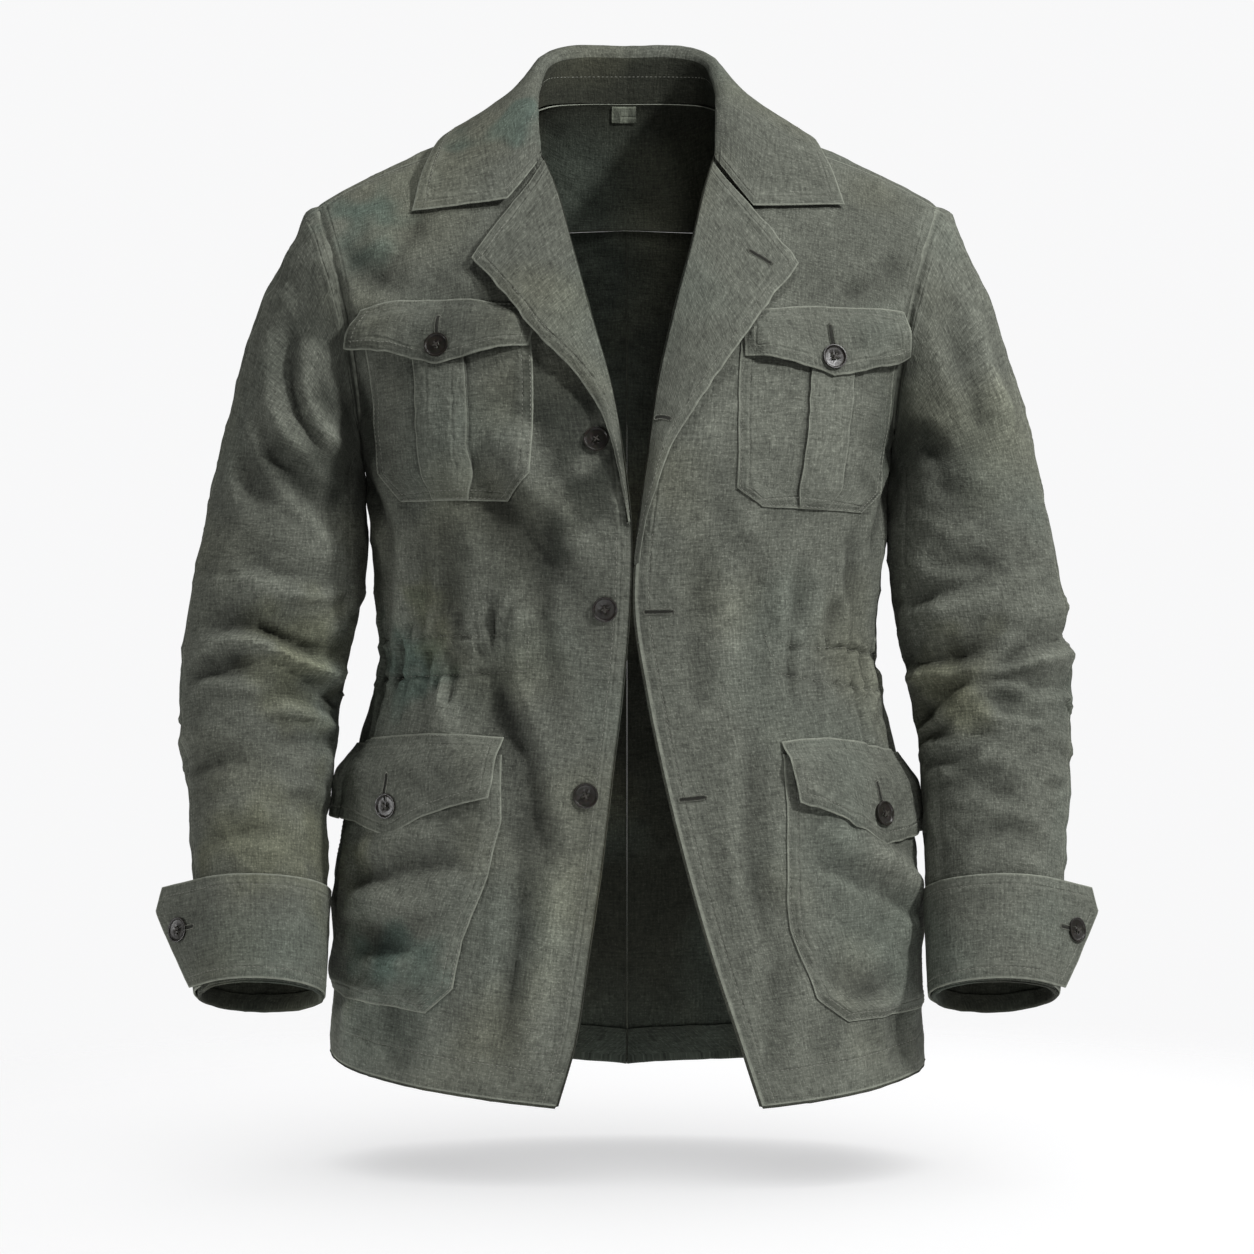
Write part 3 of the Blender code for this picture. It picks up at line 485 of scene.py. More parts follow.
# painted shade: the dark colour of the patches that stand in for shadow
PAINTED_SHADE = (0.026, 0.029, 0.023, 1)
for centre, reach, share, colour in (
        ((-0.185, -0.10, -0.125), 0.055, 0.60, TEAL), ((-0.245, -0.15, -0.425), 0.060, 0.34, MOSS),
        ((-0.255, -0.17, -0.560), 0.070, 0.32, MOSS), ((-0.160, -0.17, -0.430), 0.045, 0.60, TEAL),
        ((-0.130, -0.17, -0.400), 0.040, 0.36, MOSS), ((-0.150, -0.18, -0.640), 0.050, 0.60, TEAL),
        ((0.245, -0.15, -0.450), 0.050, 0.28, MOSS), ((-0.085, -0.09, -0.030), 0.030, 0.50, TEAL),
        ((0.235, 0.02, -0.300), 0.060, 0.50, TEAL), ((-0.100, 0.10, -0.500), 0.080, 0.34, MOSS),
        ((0.110, 0.10, -0.250), 0.070, 0.45, TEAL), ((-0.110, -0.16, -0.200), 0.085, 0.36, PAINTED_SHADE),
        ((-0.085, -0.19, -0.340), 0.090, 0.40, PAINTED_SHADE), ((-0.215, -0.13, -0.190), 0.075, 0.62, PAINTED_SHADE),
        ((-0.080, -0.18, -0.540), 0.070, 0.24, PAINTED_SHADE), ((0.225, -0.12, -0.290), 0.070, 0.40, PAINTED_SHADE),
        ((-0.054, -0.205, -0.245), 0.040, 0.75, PAINTED_SHADE), ((-0.040, -0.215, -0.280), 0.044, 0.80, PAINTED_SHADE),
        ((-0.026, -0.225, -0.320), 0.040, 0.70, PAINTED_SHADE), ((-0.200, -0.130, -0.260), 0.065, 0.65, PAINTED_SHADE),
        ((-0.170, -0.140, -0.310), 0.060, 0.55, PAINTED_SHADE), ((0.190, -0.130, -0.250), 0.055, 0.55, PAINTED_SHADE),
        ((-0.232, -0.135, -0.285), 0.050, 0.45, PAINTED_SHADE),
        ((0.060, 0.08, -0.450), 0.110, 0.30, PAINTED_SHADE)):
    away = node(wash_and_shade, "ShaderNodeVectorMath", operation="DISTANCE", in_0=given["Place"],
                in_1=centre).outputs["Value"]
    torn = sums(wash_and_shade, "MULTIPLY_ADD", ragged.outputs["Fac"], 0.11, sums(wash_and_shade, "SUBTRACT", away, 0.055))
    spread = node(wash_and_shade, "ShaderNodeMapRange", interpolation_type="SMOOTHSTEP", in_Value=torn,
                  in_From_Min=reach, in_From_Max=reach * 0.25, in_To_Max=share)
    tinted = blend_colours(wash_and_shade, "MIX", spread.outputs[0], tinted, colour)
broad = node(wash_and_shade, "ShaderNodeTexNoise", in_Vector=given["Place"], in_Scale=15.0, in_Detail=1.0)
mottle = node(wash_and_shade, "ShaderNodeTexNoise", in_Vector=given["Place"], in_Scale=70.0, in_Detail=3.0,
              in_Roughness=0.68)
patchy = sums(wash_and_shade, "MULTIPLY", sums(wash_and_shade, "MULTIPLY_ADD", mottle.outputs["Fac"], 0.56, 0.72),
              sums(wash_and_shade, "MULTIPLY_ADD", broad.outputs["Fac"], 0.40, 0.80))
# the Worn input pales rubbed ridges and darkens creases: partly wear, partly painted shade
rubbed = node(wash_and_shade, "ShaderNodeClamp", in_Value=sums(wash_and_shade, "MULTIPLY_ADD", given["Worn"], 0.20, 1.0),
              in_Min=0.25, in_Max=1.7)
scaled = node(wash_and_shade, "ShaderNodeVectorMath", operation="SCALE", in_0=tinted,
              in_Scale=sums(wash_and_shade, "MULTIPLY", patchy, rubbed.outputs[0]))
wash_and_shade.links.new(scaled.outputs[0], told["Colour"])

# sewn edge: thin pale rubbed rim, a groove under the topstitching, puckers along it
sewn, given, told = effect(
    "sewn edge",
    [("Place", "NodeSocketVector", (0, 0, 0)), ("Edge", "NodeSocketFloat", 1.0),
     ("Stitch", "NodeSocketFloat", 0.008)],
    [("Wear", "NodeSocketFloat"), ("Height", "NodeSocketFloat")])
near = node(sewn, "ShaderNodeMapRange", in_Value=given["Edge"], in_From_Min=0.0018, in_From_Max=0.0005)
rub = node(sewn, "ShaderNodeTexNoise", in_Vector=given["Place"], in_Scale=170.0, in_Detail=1.0)


def stitch_band(width):
    """Smooth band of a width along the row of stitches."""
    off = sums(sewn, "DIVIDE", sums(sewn, "SUBTRACT", given["Edge"], given["Stitch"]), width)
    return sums(sewn, "EXPONENT", sums(sewn, "MULTIPLY", sums(sewn, "MULTIPLY", off, off), -1.0))


pucker = node(sewn, "ShaderNodeTexNoise", in_Vector=given["Place"], in_Scale=150.0, in_Detail=1.0,
              in_Roughness=0.5)
ripple = sums(sewn, "MULTIPLY", stitch_band(0.0052), pucker.outputs["Fac"])
rim_wear = sums(sewn, "MULTIPLY", near.outputs[0], sums(sewn, "MULTIPLY_ADD", rub.outputs["Fac"], 1.3, 0.15))
rippled = sums(sewn, "MULTIPLY", ripple, pucker.outputs["Fac"])
sewn.links.new(sums(sewn, "MULTIPLY_ADD", rippled, 0.45, rim_wear), told["Wear"])
sewn.links.new(sums(sewn, "MULTIPLY_ADD", stitch_band(0.0010), -0.45, sums(sewn, "MULTIPLY", ripple, 1.7)),
               told["Height"])

# fine net of small creases left by washing, about a fingertip apart
creasing, given, told = effect("fine creases", [("Place", "NodeSocketVector", (0, 0, 0))],
                               [("Height", "NodeSocketFloat")])
wrinkle = node(creasing, "ShaderNodeTexNoise", in_Vector=given["Place"], in_Scale=72.0, in_Detail=2.0,
               in_Roughness=0.58, in_Distortion=0.7)
creasing.links.new(sums(creasing, "ABSOLUTE", sums(creasing, "SUBTRACT", wrinkle.outputs["Fac"], 0.5)),
                   told["Height"])


def linen(name, colour, stitch=0.008, sheen=0.03, slub=0.48, rubbed=2.4, creased=0.65):
    """Washed linen; reads the piece's own cloth map, its edge attribute and the attribute that pales rubbed
    ridges and paints shade into creases.
    """
    material = bpy.data.materials.new(name)
    material.use_nodes = True
    tree = material.node_tree
    shader = tree.nodes["Principled BSDF"]
    flat = node(tree, "ShaderNodeUVMap", uv_map="cloth").outputs[0]
    solid = node(tree, "ShaderNodeTexCoord").outputs["Object"]
    edge = node(tree, "ShaderNodeAttribute", attribute_name="edge").outputs["Fac"]
    worn = node(tree, "ShaderNodeAttribute", attribute_name="worn").outputs["Fac"]
    tint = node(tree, "ShaderNodeGroup", node_tree=wash_and_shade, in_Place=solid, in_Colour=colour, in_Worn=worn)
    thread = node(tree, "ShaderNodeGroup", node_tree=weave, in_Place=flat, in_Colour=tint.outputs[0],
                  in_Slub=slub)
    rim = node(tree, "ShaderNodeGroup", node_tree=sewn, in_Place=solid, in_Edge=edge, in_Stitch=stitch)
    creases = node(tree, "ShaderNodeGroup", node_tree=creasing, in_Place=solid)
    pale = tuple(min(1.0, c * rubbed) for c in colour[:3]) + (1,)
    base = blend_colours(tree, "MIX", rim.outputs["Wear"], thread.outputs["Colour"], pale)
    tree.links.new(base, shader.inputs["Base Color"])
    bumped = None
    for height, strength, deep in ((thread.outputs["Height"], 0.8, 0.00028),
                                   (creases.outputs["Height"], creased, 0.0024),
                                   (rim.outputs["Height"], 0.9, 0.0014)):
        bump = node(tree, "ShaderNodeBump", in_Height=height, in_Strength=strength, in_Distance=deep)
        if bumped:
            tree.links.new(bumped, bump.inputs["Normal"])
        bumped = bump.outputs[0]
    tree.links.new(bumped, shader.inputs["Normal"])
    for word, value in (("Roughness", 0.9), ("Specular IOR Level", 0.2), ("Sheen Weight", sheen),
                        ("Sheen Roughness", 0.45), ("Sheen Tint", (0.75, 0.77, 0.66, 1))):
        shader.inputs[word].default_value = value
    return material


outer_linen = linen("washed olive linen", (0.100, 0.106, 0.088, 1))
# the inside is the same linen painted far darker: painted shade for the dim inside of the jacket
shaded_inner_linen = linen("linen inside, painted shade", (0.029, 0.031, 0.023, 1), stitch=0.2, sheen=0.02, rubbed=1.4,
                    creased=0.25)


def drifting(name, size, first, second, roughness=0.5):
    """A paint that drifts between two colours."""
    material = bpy.data.materials.new(name)
    material.use_nodes = True
    tree = material.node_tree
    cloud = node(tree, "ShaderNodeTexNoise", in_Scale=size,
                 in_Vector=node(tree, "ShaderNodeTexCoord").outputs["Object"])
    shader = tree.nodes["Principled BSDF"]
    mixed = blend_colours(tree, "MIX", cloud.outputs["Fac"], first, second)
    tree.links.new(mixed, shader.inputs["Base Color"])
    shader.inputs["Roughness"].default_value = roughness
    return material


def placed(name, data):
    """A new object in the scene."""
    thing = bpy.data.objects.new(name, data)
    bpy.context.scene.collection.objects.link(thing)
    return thing


def only(thing):
    for other in bpy.context.selected_objects:
        other.select_set(False)
    thing.select_set(True)
    bpy.context.view_layer.objects.active = thing


def cloth(name, points, look, wall=LAYER, hems=(), edge=None, worn=None, top=None, under=None):
    """One sewn piece on a grid of points, as thick as wall, with turned-in hems.

    look points outwards at every point; edge holds distances from stitched edges."""
    n = normals(points, look)
    rows, cols = points.shape[:2]
    gaps = margins(points)
    edge = np.full((rows, cols), FAR) if edge is None else edge
    worn = np.zeros((rows, cols)) if worn is None else worn
    flipped = np.sum(np.cross(points[0, 1] - points[0, 0], points[1, 0] - points[0, 0]) * n[0, 0]) < 0
    verts = [tuple(p) for p in points.reshape(-1, 3)]
    edges = list(edge.reshape(-1))
    rub_and_shade_values = list(worn.reshape(-1))
    share = gaps["left"].mean(axis=0)
    rise = gaps["low"].mean(axis=1)
    maps = [(share[j], rise[i]) for i in range(rows) for j in range(cols)]
    faces = []

    def weld(net, turn):
        for i in range(len(net) - 1):
            for j in range(len(net[0]) - 1):
                face = (net[i][j], net[i][j + 1], net[i + 1][j + 1], net[i + 1][j])
                faces.append(face[::-1] if turn else face)

    weld([[i * cols + j for j in range(cols)] for i in range(rows)], flipped)
    for where, depth, radius in hems:
        if where in ("low", "high"):
            order = range(rows) if where == "low" else range(rows - 1, -1, -1)
            lines = [[(i, j) for j in range(cols)] for i in order]
        else:
            order = range(cols) if where == "left" else range(cols - 1, -1, -1)
            lines = [[(i, j) for i in range(rows)] for j in order]
        first = lines[0]
        out = [unit(points[a] - points[b]) for a, b in zip(first, lines[1])]
        net = [[i * cols + j for i, j in first]]

        def add(places, distance):
            start = len(verts)
            for (i, j), p in zip(first, places):
                verts.append(tuple(p))
                edges.append(FAR)
                rub_and_shade_values.append(0.0)
                maps.append((share[j] + distance, rise[i] + distance))
            net.append(list(range(start, len(verts))))

        for angle in (45, 90, 135, 180):
            a = math.radians(angle)
            add([points[s] + o * radius * math.sin(a) - n[s] * radius * (1 - math.cos(a))
                 for s, o in zip(first, out)], radius * a)
        for line in lines[2:]:
            deep = gaps[where][line[len(line) // 2]]
            if deep > depth:
                break
            if deep > 0.003:
                add([points[s] - n[s] * 2 * radius for s in line], deep)
        weld(net, flipped == (where in ("low", "right")))
    mesh = bpy.data.meshes.new(name)
    mesh.from_pydata(verts, [], faces)
    layer = mesh.uv_layers.new(name="cloth")
    index = np.empty(len(mesh.loops), dtype=np.int32)
    mesh.loops.foreach_get("vertex_index", index)
    layer.data.foreach_set("uv", np.array(maps, dtype=np.float32)[index].reshape(-1))
    # the second attribute pales rubbed ridges and paints shade into creases
    for word, values in (("edge", edges), ("worn", rub_and_shade_values)):
        stored = mesh.attributes.new(word, "FLOAT", "POINT")
        stored.data.foreach_set("value", np.array(values, dtype=np.float32))
    mesh.materials.append(top or outer_linen)
    # every inner side gets the dark inside linen, which is painted shade
    mesh.materials.append(under or shaded_inner_linen)
    thing = placed(name, mesh)
    only(thing)
    thick = thing.modifiers.new("wall", "SOLIDIFY")
    thick.thickness = wall
    thick.offset = -1
    thick.material_offset = 1
    thick.material_offset_rim = 0
    bpy.ops.object.modifier_apply(modifier="wall")
    bpy.ops.object.shade_smooth_by_angle(angle=math.radians(55))
    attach(thing, "root")
    return thing


STITCH = [  # along, across, up: a small lozenge
    (0.0, 0.5, 0.0), (0.5, 0.0, 0.05), (0.5, 0.5, 1.0), (0.5, 1.0, 0.05), (0.5, 0.5, -0.6), (1.0, 0.5, 0.0)]
STITCH_FACES = [(0, 1, 2), (0, 2, 3), (0, 3, 4), (0, 4, 1), (5, 2, 1), (5, 3, 2), (5, 4, 3), (5, 1, 4)]
thread_paint = drifting("olive sewing thread", 900.0, (0.155, 0.160, 0.135, 1), (0.250, 0.255, 0.215, 1), 0.8)


def stitch_line(points, facing, where, distance, start=0.0, end=1.0):
    """Line of places at a distance in from one edge of a grid, with its normals."""
    gaps = margins(points)[where]
    lines = []
    if where in ("left", "right"):
        spans = [(points[i], facing[i], gaps[i]) for i in range(points.shape[0])]
    else:
        spans = [(points[:, j], facing[:, j], gaps[:, j]) for j in range(points.shape[1])]
    total = len(spans) - 1
    for k, (p, n, g) in enumerate(spans):
        if start <= k / total <= end:
            order = np.argsort(g)
            lines.append((np.array([np.interp(distance, g[order], p[order, c]) for c in range(3)]),
                          np.array([np.interp(distance, g[order], n[order, c]) for c in range(3)])))
    return np.array([a for a, b in lines]), unit(np.array([b for a, b in lines]))


def sew(name, rows, pitch=0.0034, length=0.0026, width=0.00065, tall=0.00042, paint=None):
    """Separate stitches laid along rows of places."""
    verts = []
    faces = []
    for path, facing in rows:
        spans = np.linalg.norm(np.diff(path, axis=0), axis=1)
        run = np.concatenate(([0.0], np.cumsum(spans)))
        count = int(run[-1] / pitch)
        for k in range(count):
            ends = []
            for s in (k * pitch + 0.0004, k * pitch + 0.0004 + length):
                ends.append(np.array([np.interp(s, run, path[:, c]) for c in range(3)]))
            up = unit(np.array([np.interp(k * pitch, run, facing[:, c]) for c in range(3)]))
            go = ends[1] - ends[0]
            side = unit(np.cross(up, go))
            base = len(verts)
            for a, b, c in STITCH:
                verts.append(tuple(ends[0] + go * a + side * (b - 0.5) * width + up * c * tall))
            faces += [tuple(base + i for i in f) for f in STITCH_FACES]
    mesh = bpy.data.meshes.new(name)
    mesh.from_pydata(verts, [], faces)
    mesh.materials.append(paint or thread_paint)
    thing = placed(name, mesh)
    turn = bmesh.new()
    turn.from_mesh(mesh)
    bmesh.ops.recalc_face_normals(turn, faces=turn.faces)
    turn.to_mesh(mesh)
    turn.free()
    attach(thing, "root")
    return thing


FRONT_CASING = {  # rows of the waist casing, (u, v) from the front edge outwards
    RIGHT: ([(0.237, 0.4475), (0.36, 0.444), (0.510, 0.4391), (0.814, 0.4261), (1.0, 0.421)],
            [(0.236, 0.4141), (0.44, 0.404), (0.681, 0.3936), (0.85, 0.386), (1.0, 0.3803)]),
    LEFT: ([(0.325, 0.4460), (0.422, 0.4323), (0.619, 0.4260), (0.807, 0.4138), (1.0, 0.409)],
           [(0.357, 0.4096), (0.441, 0.4024), (0.613, 0.3904), (0.769, 0.3803), (1.0, 0.374)]),
}
FRONT_FOLDS = {  # height, width, lean, spots (u, v)
    RIGHT: [
        (-0.0030, 0.008, 0.3, [(0.455, 0.571), (0.460, 0.504), (0.482, 0.436)]),
        (-0.0044, 0.017, -0.3, [(0.40, 0.640), (0.31, 0.585), (0.17, 0.510), (0.08, 0.470)]),
        (-0.0048, 0.014, -0.4, [(0.343, 0.438), (0.303, 0.385), (0.211, 0.332), (0.118, 0.227)]),
        (0.0026, 0.010, 0.0, [(0.636, 0.550), (0.629, 0.491), (0.698, 0.430)]),
        (-0.0022, 0.007, 0.2, [(0.571, 0.400), (0.540, 0.370), (0.519, 0.335)]),
        (-0.0022, 0.007, 0.2, [(0.414, 0.410), (0.394, 0.348)]),
        (-0.0024, 0.009, -0.2, [(0.208, 0.519), (0.194, 0.444), (0.140, 0.372)]),
        (-0.0032, 0.011, 0.3, [(0.200, 0.300), (0.179, 0.206), (0.173, 0.110), (0.158, 0.0)]),
        (0.0034, 0.013, 0.0, [(0.083, 0.260), (0.099, 0.115), (0.090, 0.0)]),
        (-0.0026, 0.011, 0.2, [(0.971, 0.920), (0.671, 0.846), (0.497, 0.820)]),
        (-0.0022, 0.010, -0.2, [(0.876, 0.839), (0.591, 0.863), (0.430, 0.925)]),
        (-0.0030, 0.010, 0.2, [(0.96, 0.60), (0.80, 0.57), (0.66, 0.51)]),
        (-0.0026, 0.010, 0.2, [(0.90, 0.38), (0.86, 0.28), (0.90, 0.15)]),
        (0.0026, 0.014, 0.0, [(0.70, 0.10), (0.72, 0.04), (0.70, 0.0)]),
        (-0.0028, 0.012, 0.3, [(0.55, 0.12), (0.50, 0.05), (0.48, 0.0)]),
        (0.0022, 0.012, 0.0, [(0.30, 0.66), (0.26, 0.60), (0.24, 0.52)]),
    ],
    LEFT: [
        (-0.0030, 0.009, 0.3, [(0.265, 0.376), (0.212, 0.306), (0.169, 0.241), (0.158, 0.150)]),
        (-0.0026, 0.008, 0.2, [(0.411, 0.515), (0.425, 0.477), (0.415, 0.439)]),
        (-0.0024, 0.008, -0.2, [(0.565, 0.480), (0.569, 0.425)]),
        (-0.0020, 0.009, 0.2, [(0.153, 0.520), (0.127, 0.446), (0.115, 0.364)]),
        (0.0024, 0.011, 0.0, [(0.237, 0.537), (0.228, 0.481), (0.224, 0.388)]),
        (-0.0026, 0.010, 0.2, [(0.211, 0.177), (0.120, 0.104), (0.033, 0.0)]),
        (-0.0024, 0.011, 0.2, [(0.838, 0.893), (0.645, 0.839), (0.469, 0.818)]),
        (-0.0026, 0.009, 0.3, [(0.606, 0.551), (0.646, 0.472), (0.737, 0.431)]),
        (-0.0030, 0.010, 0.2, [(0.96, 0.60), (0.82, 0.56), (0.70, 0.50)]),
        (-0.0026, 0.010, 0.2, [(0.90, 0.38), (0.85, 0.27), (0.90, 0.15)]),
        (0.0026, 0.013, 0.0, [(0.40, 0.09), (0.38, 0.04), (0.36, 0.0)]),
        (-0.0028, 0.012, 0.3, [(0.62, 0.10), (0.60, 0.05), (0.58, 0.0)]),
        (0.0022, 0.012, 0.0, [(0.32, 0.66), (0.28, 0.60), (0.26, 0.52)]),
        (-0.0018, 0.008, 0.2, [(0.08, 0.30), (0.05, 0.20), (0.03, 0.10)]),
    ],
}
front_shape = {}
front_rows = []
for side, word in SIDES:
    us = spaced(0.27, start=True)
    vs = spaced(0.74, start=True)
    flat = grid(lambda u, v: front(side, u, v), us, vs)
    out = normals(flat, outward(flat))
    gap = margins(flat)
    held = ease(gap["right"] / SEAM_HOLD) * ease(gap["high"] / SEAM_HOLD)
    lift = CREASED["front"] * fold_lift(flat, out, FRONT_FOLDS[side], lambda u, v: front(side, u, v))
    lift = drawn_in(lift, flat, out, FRONT_CASING[side], lambda u, v: front(side, min(max(u, 0), 1), v),
                    (0.020, 0.044), 0.0090, 3.0 * side)
    rough = crumple(flat, 0.0017, 0.0008)
    front_edge_calm = 0.45 + 0.55 * ease(gap["left"] / 0.05)
    lift = (lift + rough) * held * front_edge_calm
    lift += seam_dip(gap["right"]) + seam_dip(gap["high"])
    shaped = flat + out * lift[:, :, None]
    front_shape[side] = (shaped, normals(shaped, out), us, vs)
    edge = np.minimum(edge_gap(gap, "right", "high") + 0.0006, turned_up(gap["low"]))
    edge = np.minimum(edge, gap["left"] - 0.0012 if side == LEFT else gap["left"] + 0.0014)
    piece = cloth("front_panel_" + word, shaped, out, edge=np.maximum(edge, 0.0),
                  hems=(("left", FRONT_FOLD, HEM_BEND), ("low", HEM, HEM_BEND)), worn=lift * WEAR_AND_SHADE)
    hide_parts("front_" + word)
    facing = front_shape[side][1]
    front_rows.append(stitch_line(shaped, facing, "left", 0.0095, 0.0, 0.56))
    front_rows.append(stitch_line(shaped, facing, "low", HEM_STITCH))
    front_rows.append(stitch_line(shaped, facing, "high", 0.0060))


def on_shape(shape, a, b, lift=0.0):
    """Place and normal on a shaped piece at shares a, b."""
    net, facing, across, down = shape
    n = unit(sample(facing, across, down, a, b))
    return sample(net, across, down, a, b) + n * lift, n


def on_front(side, u, v, lift=0.0):
    return on_shape(front_shape[side], u, v, lift)


def split(spots):
    """Places and normals of a row of spots, each as one array."""
    return np.array([p for p, n in spots]), np.array([n for p, n in spots])


for side in (RIGHT, LEFT):
    for row in FRONT_CASING[side]:
        spots = [on_front(side, lerp(a[0], b[0], t / 12), lerp(a[1], b[1], t / 12), ON_TOP)
                 for a, b in zip(row, row[1:]) for t in range(12)]
        front_rows.append(split(spots))
    upper, lower = FRONT_CASING[side]
    spots = [on_front(side, lerp(upper[0][0], lower[0][0], t / 8), lerp(upper[0][1], lower[0][1], t / 8),
                      ON_TOP)
             for t in range(9)]
    front_rows.append(split(spots))
sew("front_stitching", front_rows)


# ---- the two backs ----------------------------------------------------------------
# The back is two panels sewn together down the middle and to the yoke above,
# with the same turned-up hem and the same drawn-in waist casing as the fronts.
BACK_LENGTH = 0.740
BACK_EDGE = [  # v, z, y
    (0.00, -BACK_LENGTH, 0.030),
    (0.18, -0.600, 0.019),
    (0.34, -0.490, 0.007),
    (0.44, -0.420, 0.004),
    (0.55, -0.340, 0.018),
    (0.68, -0.250, 0.030),
    (0.84, -0.160, 0.032),
    (1.00, -0.095, 0.023),
]
BACK_CASING = {
    RIGHT: ([(0.0, 0.462), (0.35, 0.455), (0.7, 0.438), (1.0, 0.421)],
            [(0.0, 0.424), (0.35, 0.416), (0.7, 0.398), (1.0, 0.3803)]),
    LEFT: ([(0.0, 0.462), (0.35, 0.452), (0.7, 0.430), (1.0, 0.409)],
           [(0.0, 0.424), (0.35, 0.412), (0.7, 0.392), (1.0, 0.374)]),
}
BACK_FOLDS = {
    RIGHT: [
        (-0.0030, 0.012, 0.2, [(0.30, 0.42), (0.34, 0.30), (0.33, 0.16), (0.36, 0.02)]),
        (0.0030, 0.014, 0.0, [(0.14, 0.36), (0.13, 0.20), (0.12, 0.0)]),
        (-0.0026, 0.011, -0.3, [(0.62, 0.40), (0.66, 0.28), (0.70, 0.12)]),
        (0.0026, 0.013, 0.0, [(0.80, 0.30), (0.84, 0.14), (0.84, 0.0)]),
        (-0.0032, 0.012, 0.2, [(0.97, 0.70), (0.80, 0.66), (0.60, 0.58), (0.48, 0.50)]),
        (-0.0026, 0.011, -0.2, [(0.95, 0.62), (0.80, 0.56), (0.70, 0.49)]),
        (-0.0022, 0.012, 0.2, [(0.10, 0.74), (0.16, 0.62), (0.14, 0.50)]),
        (-0.0024, 0.012, 0.0, [(0.80, 0.96), (0.72, 0.86), (0.74, 0.76)]),
        (0.0020, 0.014, 0.0, [(0.40, 0.92), (0.44, 0.78), (0.40, 0.64)]),
    ],
    LEFT: [
        (-0.0028, 0.012, -0.2, [(0.24, 0.42), (0.27, 0.28), (0.24, 0.10)]),
        (0.0028, 0.014, 0.0, [(0.44, 0.36), (0.47, 0.20), (0.46, 0.0)]),
        (-0.0030, 0.011, 0.3, [(0.56, 0.41), (0.60, 0.30), (0.60, 0.10), (0.62, 0.0)]),
        (-0.0024, 0.012, 0.0, [(0.88, 0.34), (0.86, 0.20), (0.90, 0.06)]),
        (-0.0032, 0.012, -0.2, [(0.97, 0.68), (0.82, 0.63), (0.64, 0.54), (0.56, 0.48)]),
        (-0.0024, 0.010, 0.2, [(0.96, 0.58), (0.84, 0.53), (0.78, 0.47)]),
        (-0.0024, 0.012, 0.2, [(0.22, 0.80), (0.26, 0.66), (0.22, 0.54)]),
        (-0.0022, 0.012, 0.0, [(0.84, 0.94), (0.76, 0.84), (0.78, 0.74)]),
        (0.0020, 0.014, 0.0, [(0.52, 0.88), (0.50, 0.74), (0.54, 0.62)]),
    ],
}


def back(side, u, v):
    """Outer face of a back: u from the middle seam to the side, v from the hem up."""
    z, y = curve(BACK_EDGE, v)
    return bow(Vector((0.0, y, z)), side_line(side, v, BACK_ARM), u, curve(ROUND, min(v, 0.85))[0])


back_rows = []
for side, word in SIDES:
    us = spaced(0.28)
    vs = spaced(0.66, start=True)
    flat = grid(lambda u, v: back(side, u, v), us, vs)
    out = normals(flat, outward(flat))
    gap = margins(flat)
    held = ease(gap["right"] / SEAM_HOLD) * ease(gap["high"] / SEAM_HOLD) * ease(gap["left"] / 0.010)
    lift = CREASED["back"] * fold_lift(flat, out, BACK_FOLDS[side], lambda u, v: back(side, u, v))
    lift = drawn_in(lift, flat, out, BACK_CASING[side], lambda u, v: back(side, min(max(u, 0), 1), v),
                    (0.026, 0.050), 0.0105, 9.0 * side)
    lift = (lift + crumple(flat, 0.0022, 0.0009)) * held
    lift += seam_dip(gap["right"]) + seam_dip(gap["high"]) + seam_dip(gap["left"])
    shaped = flat + out * lift[:, :, None]
    edge = np.minimum(edge_gap(gap, "right", "high", "left") + 0.0006, turned_up(gap["low"]))
    piece = cloth("back_panel_" + word, shaped, out, hems=(("low", HEM, HEM_BEND),), edge=edge,
                  worn=lift * WEAR_AND_SHADE)
    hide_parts("back_" + word)
    facing = normals(shaped, out)
    back_rows.append(stitch_line(shaped, facing, "low", HEM_STITCH))
    back_rows.append(stitch_line(shaped, facing, "left", 0.0045))
    for row in BACK_CASING[side]:
        spots = [(lerp(a[0], b[0], t / 20), lerp(a[1], b[1], t / 20))
                 for a, b in zip(row, row[1:]) for t in range(20)]
        back_rows.append((np.array([sample(shaped, us, vs, u, v) + sample(facing, us, vs, u, v) * ON_TOP
                                    for u, v in spots]),
                          np.array([sample(facing, us, vs, u, v) for u, v in spots])))
sew("back_stitching", back_rows)


# ---- the yoke ----------------------------------------------------------------------
# One piece of linen lies over both shoulders.  It is sewn to the fronts just
# ahead of the shoulder line, to the backs behind, to the collar round the neck
# and to the sleeve heads at its ends, and topstitched beside the front and back seams.
NECK = [  # s, x, y, z of the neck seam, centre back to the shoulder seam
    (0.00, 0.0000, 0.000, 0.0000),
    (0.12, 0.0340, -0.004, -0.0005),
    (0.24, 0.0620, -0.022, -0.0050),
    (0.34, 0.0755, -0.052, -0.0170),
    (0.42, 0.0780, -0.083, -0.0300),
]
NECK_S = 0.42
YOKE_CROWN = [  # s, x, y, z of the point the yoke bends over
    (0.00, 0.000, 0.017, -0.046),
    (0.12, 0.036, 0.016, -0.040),
    (0.24, 0.064, 0.006, -0.012),
    (0.34, 0.080, -0.012, 0.010),
    (0.42, 0.087, -0.020, 0.017),
    (0.70, 0.150, -0.025, -0.030),
    (1.00, 0.231, -0.080, -0.088),
]
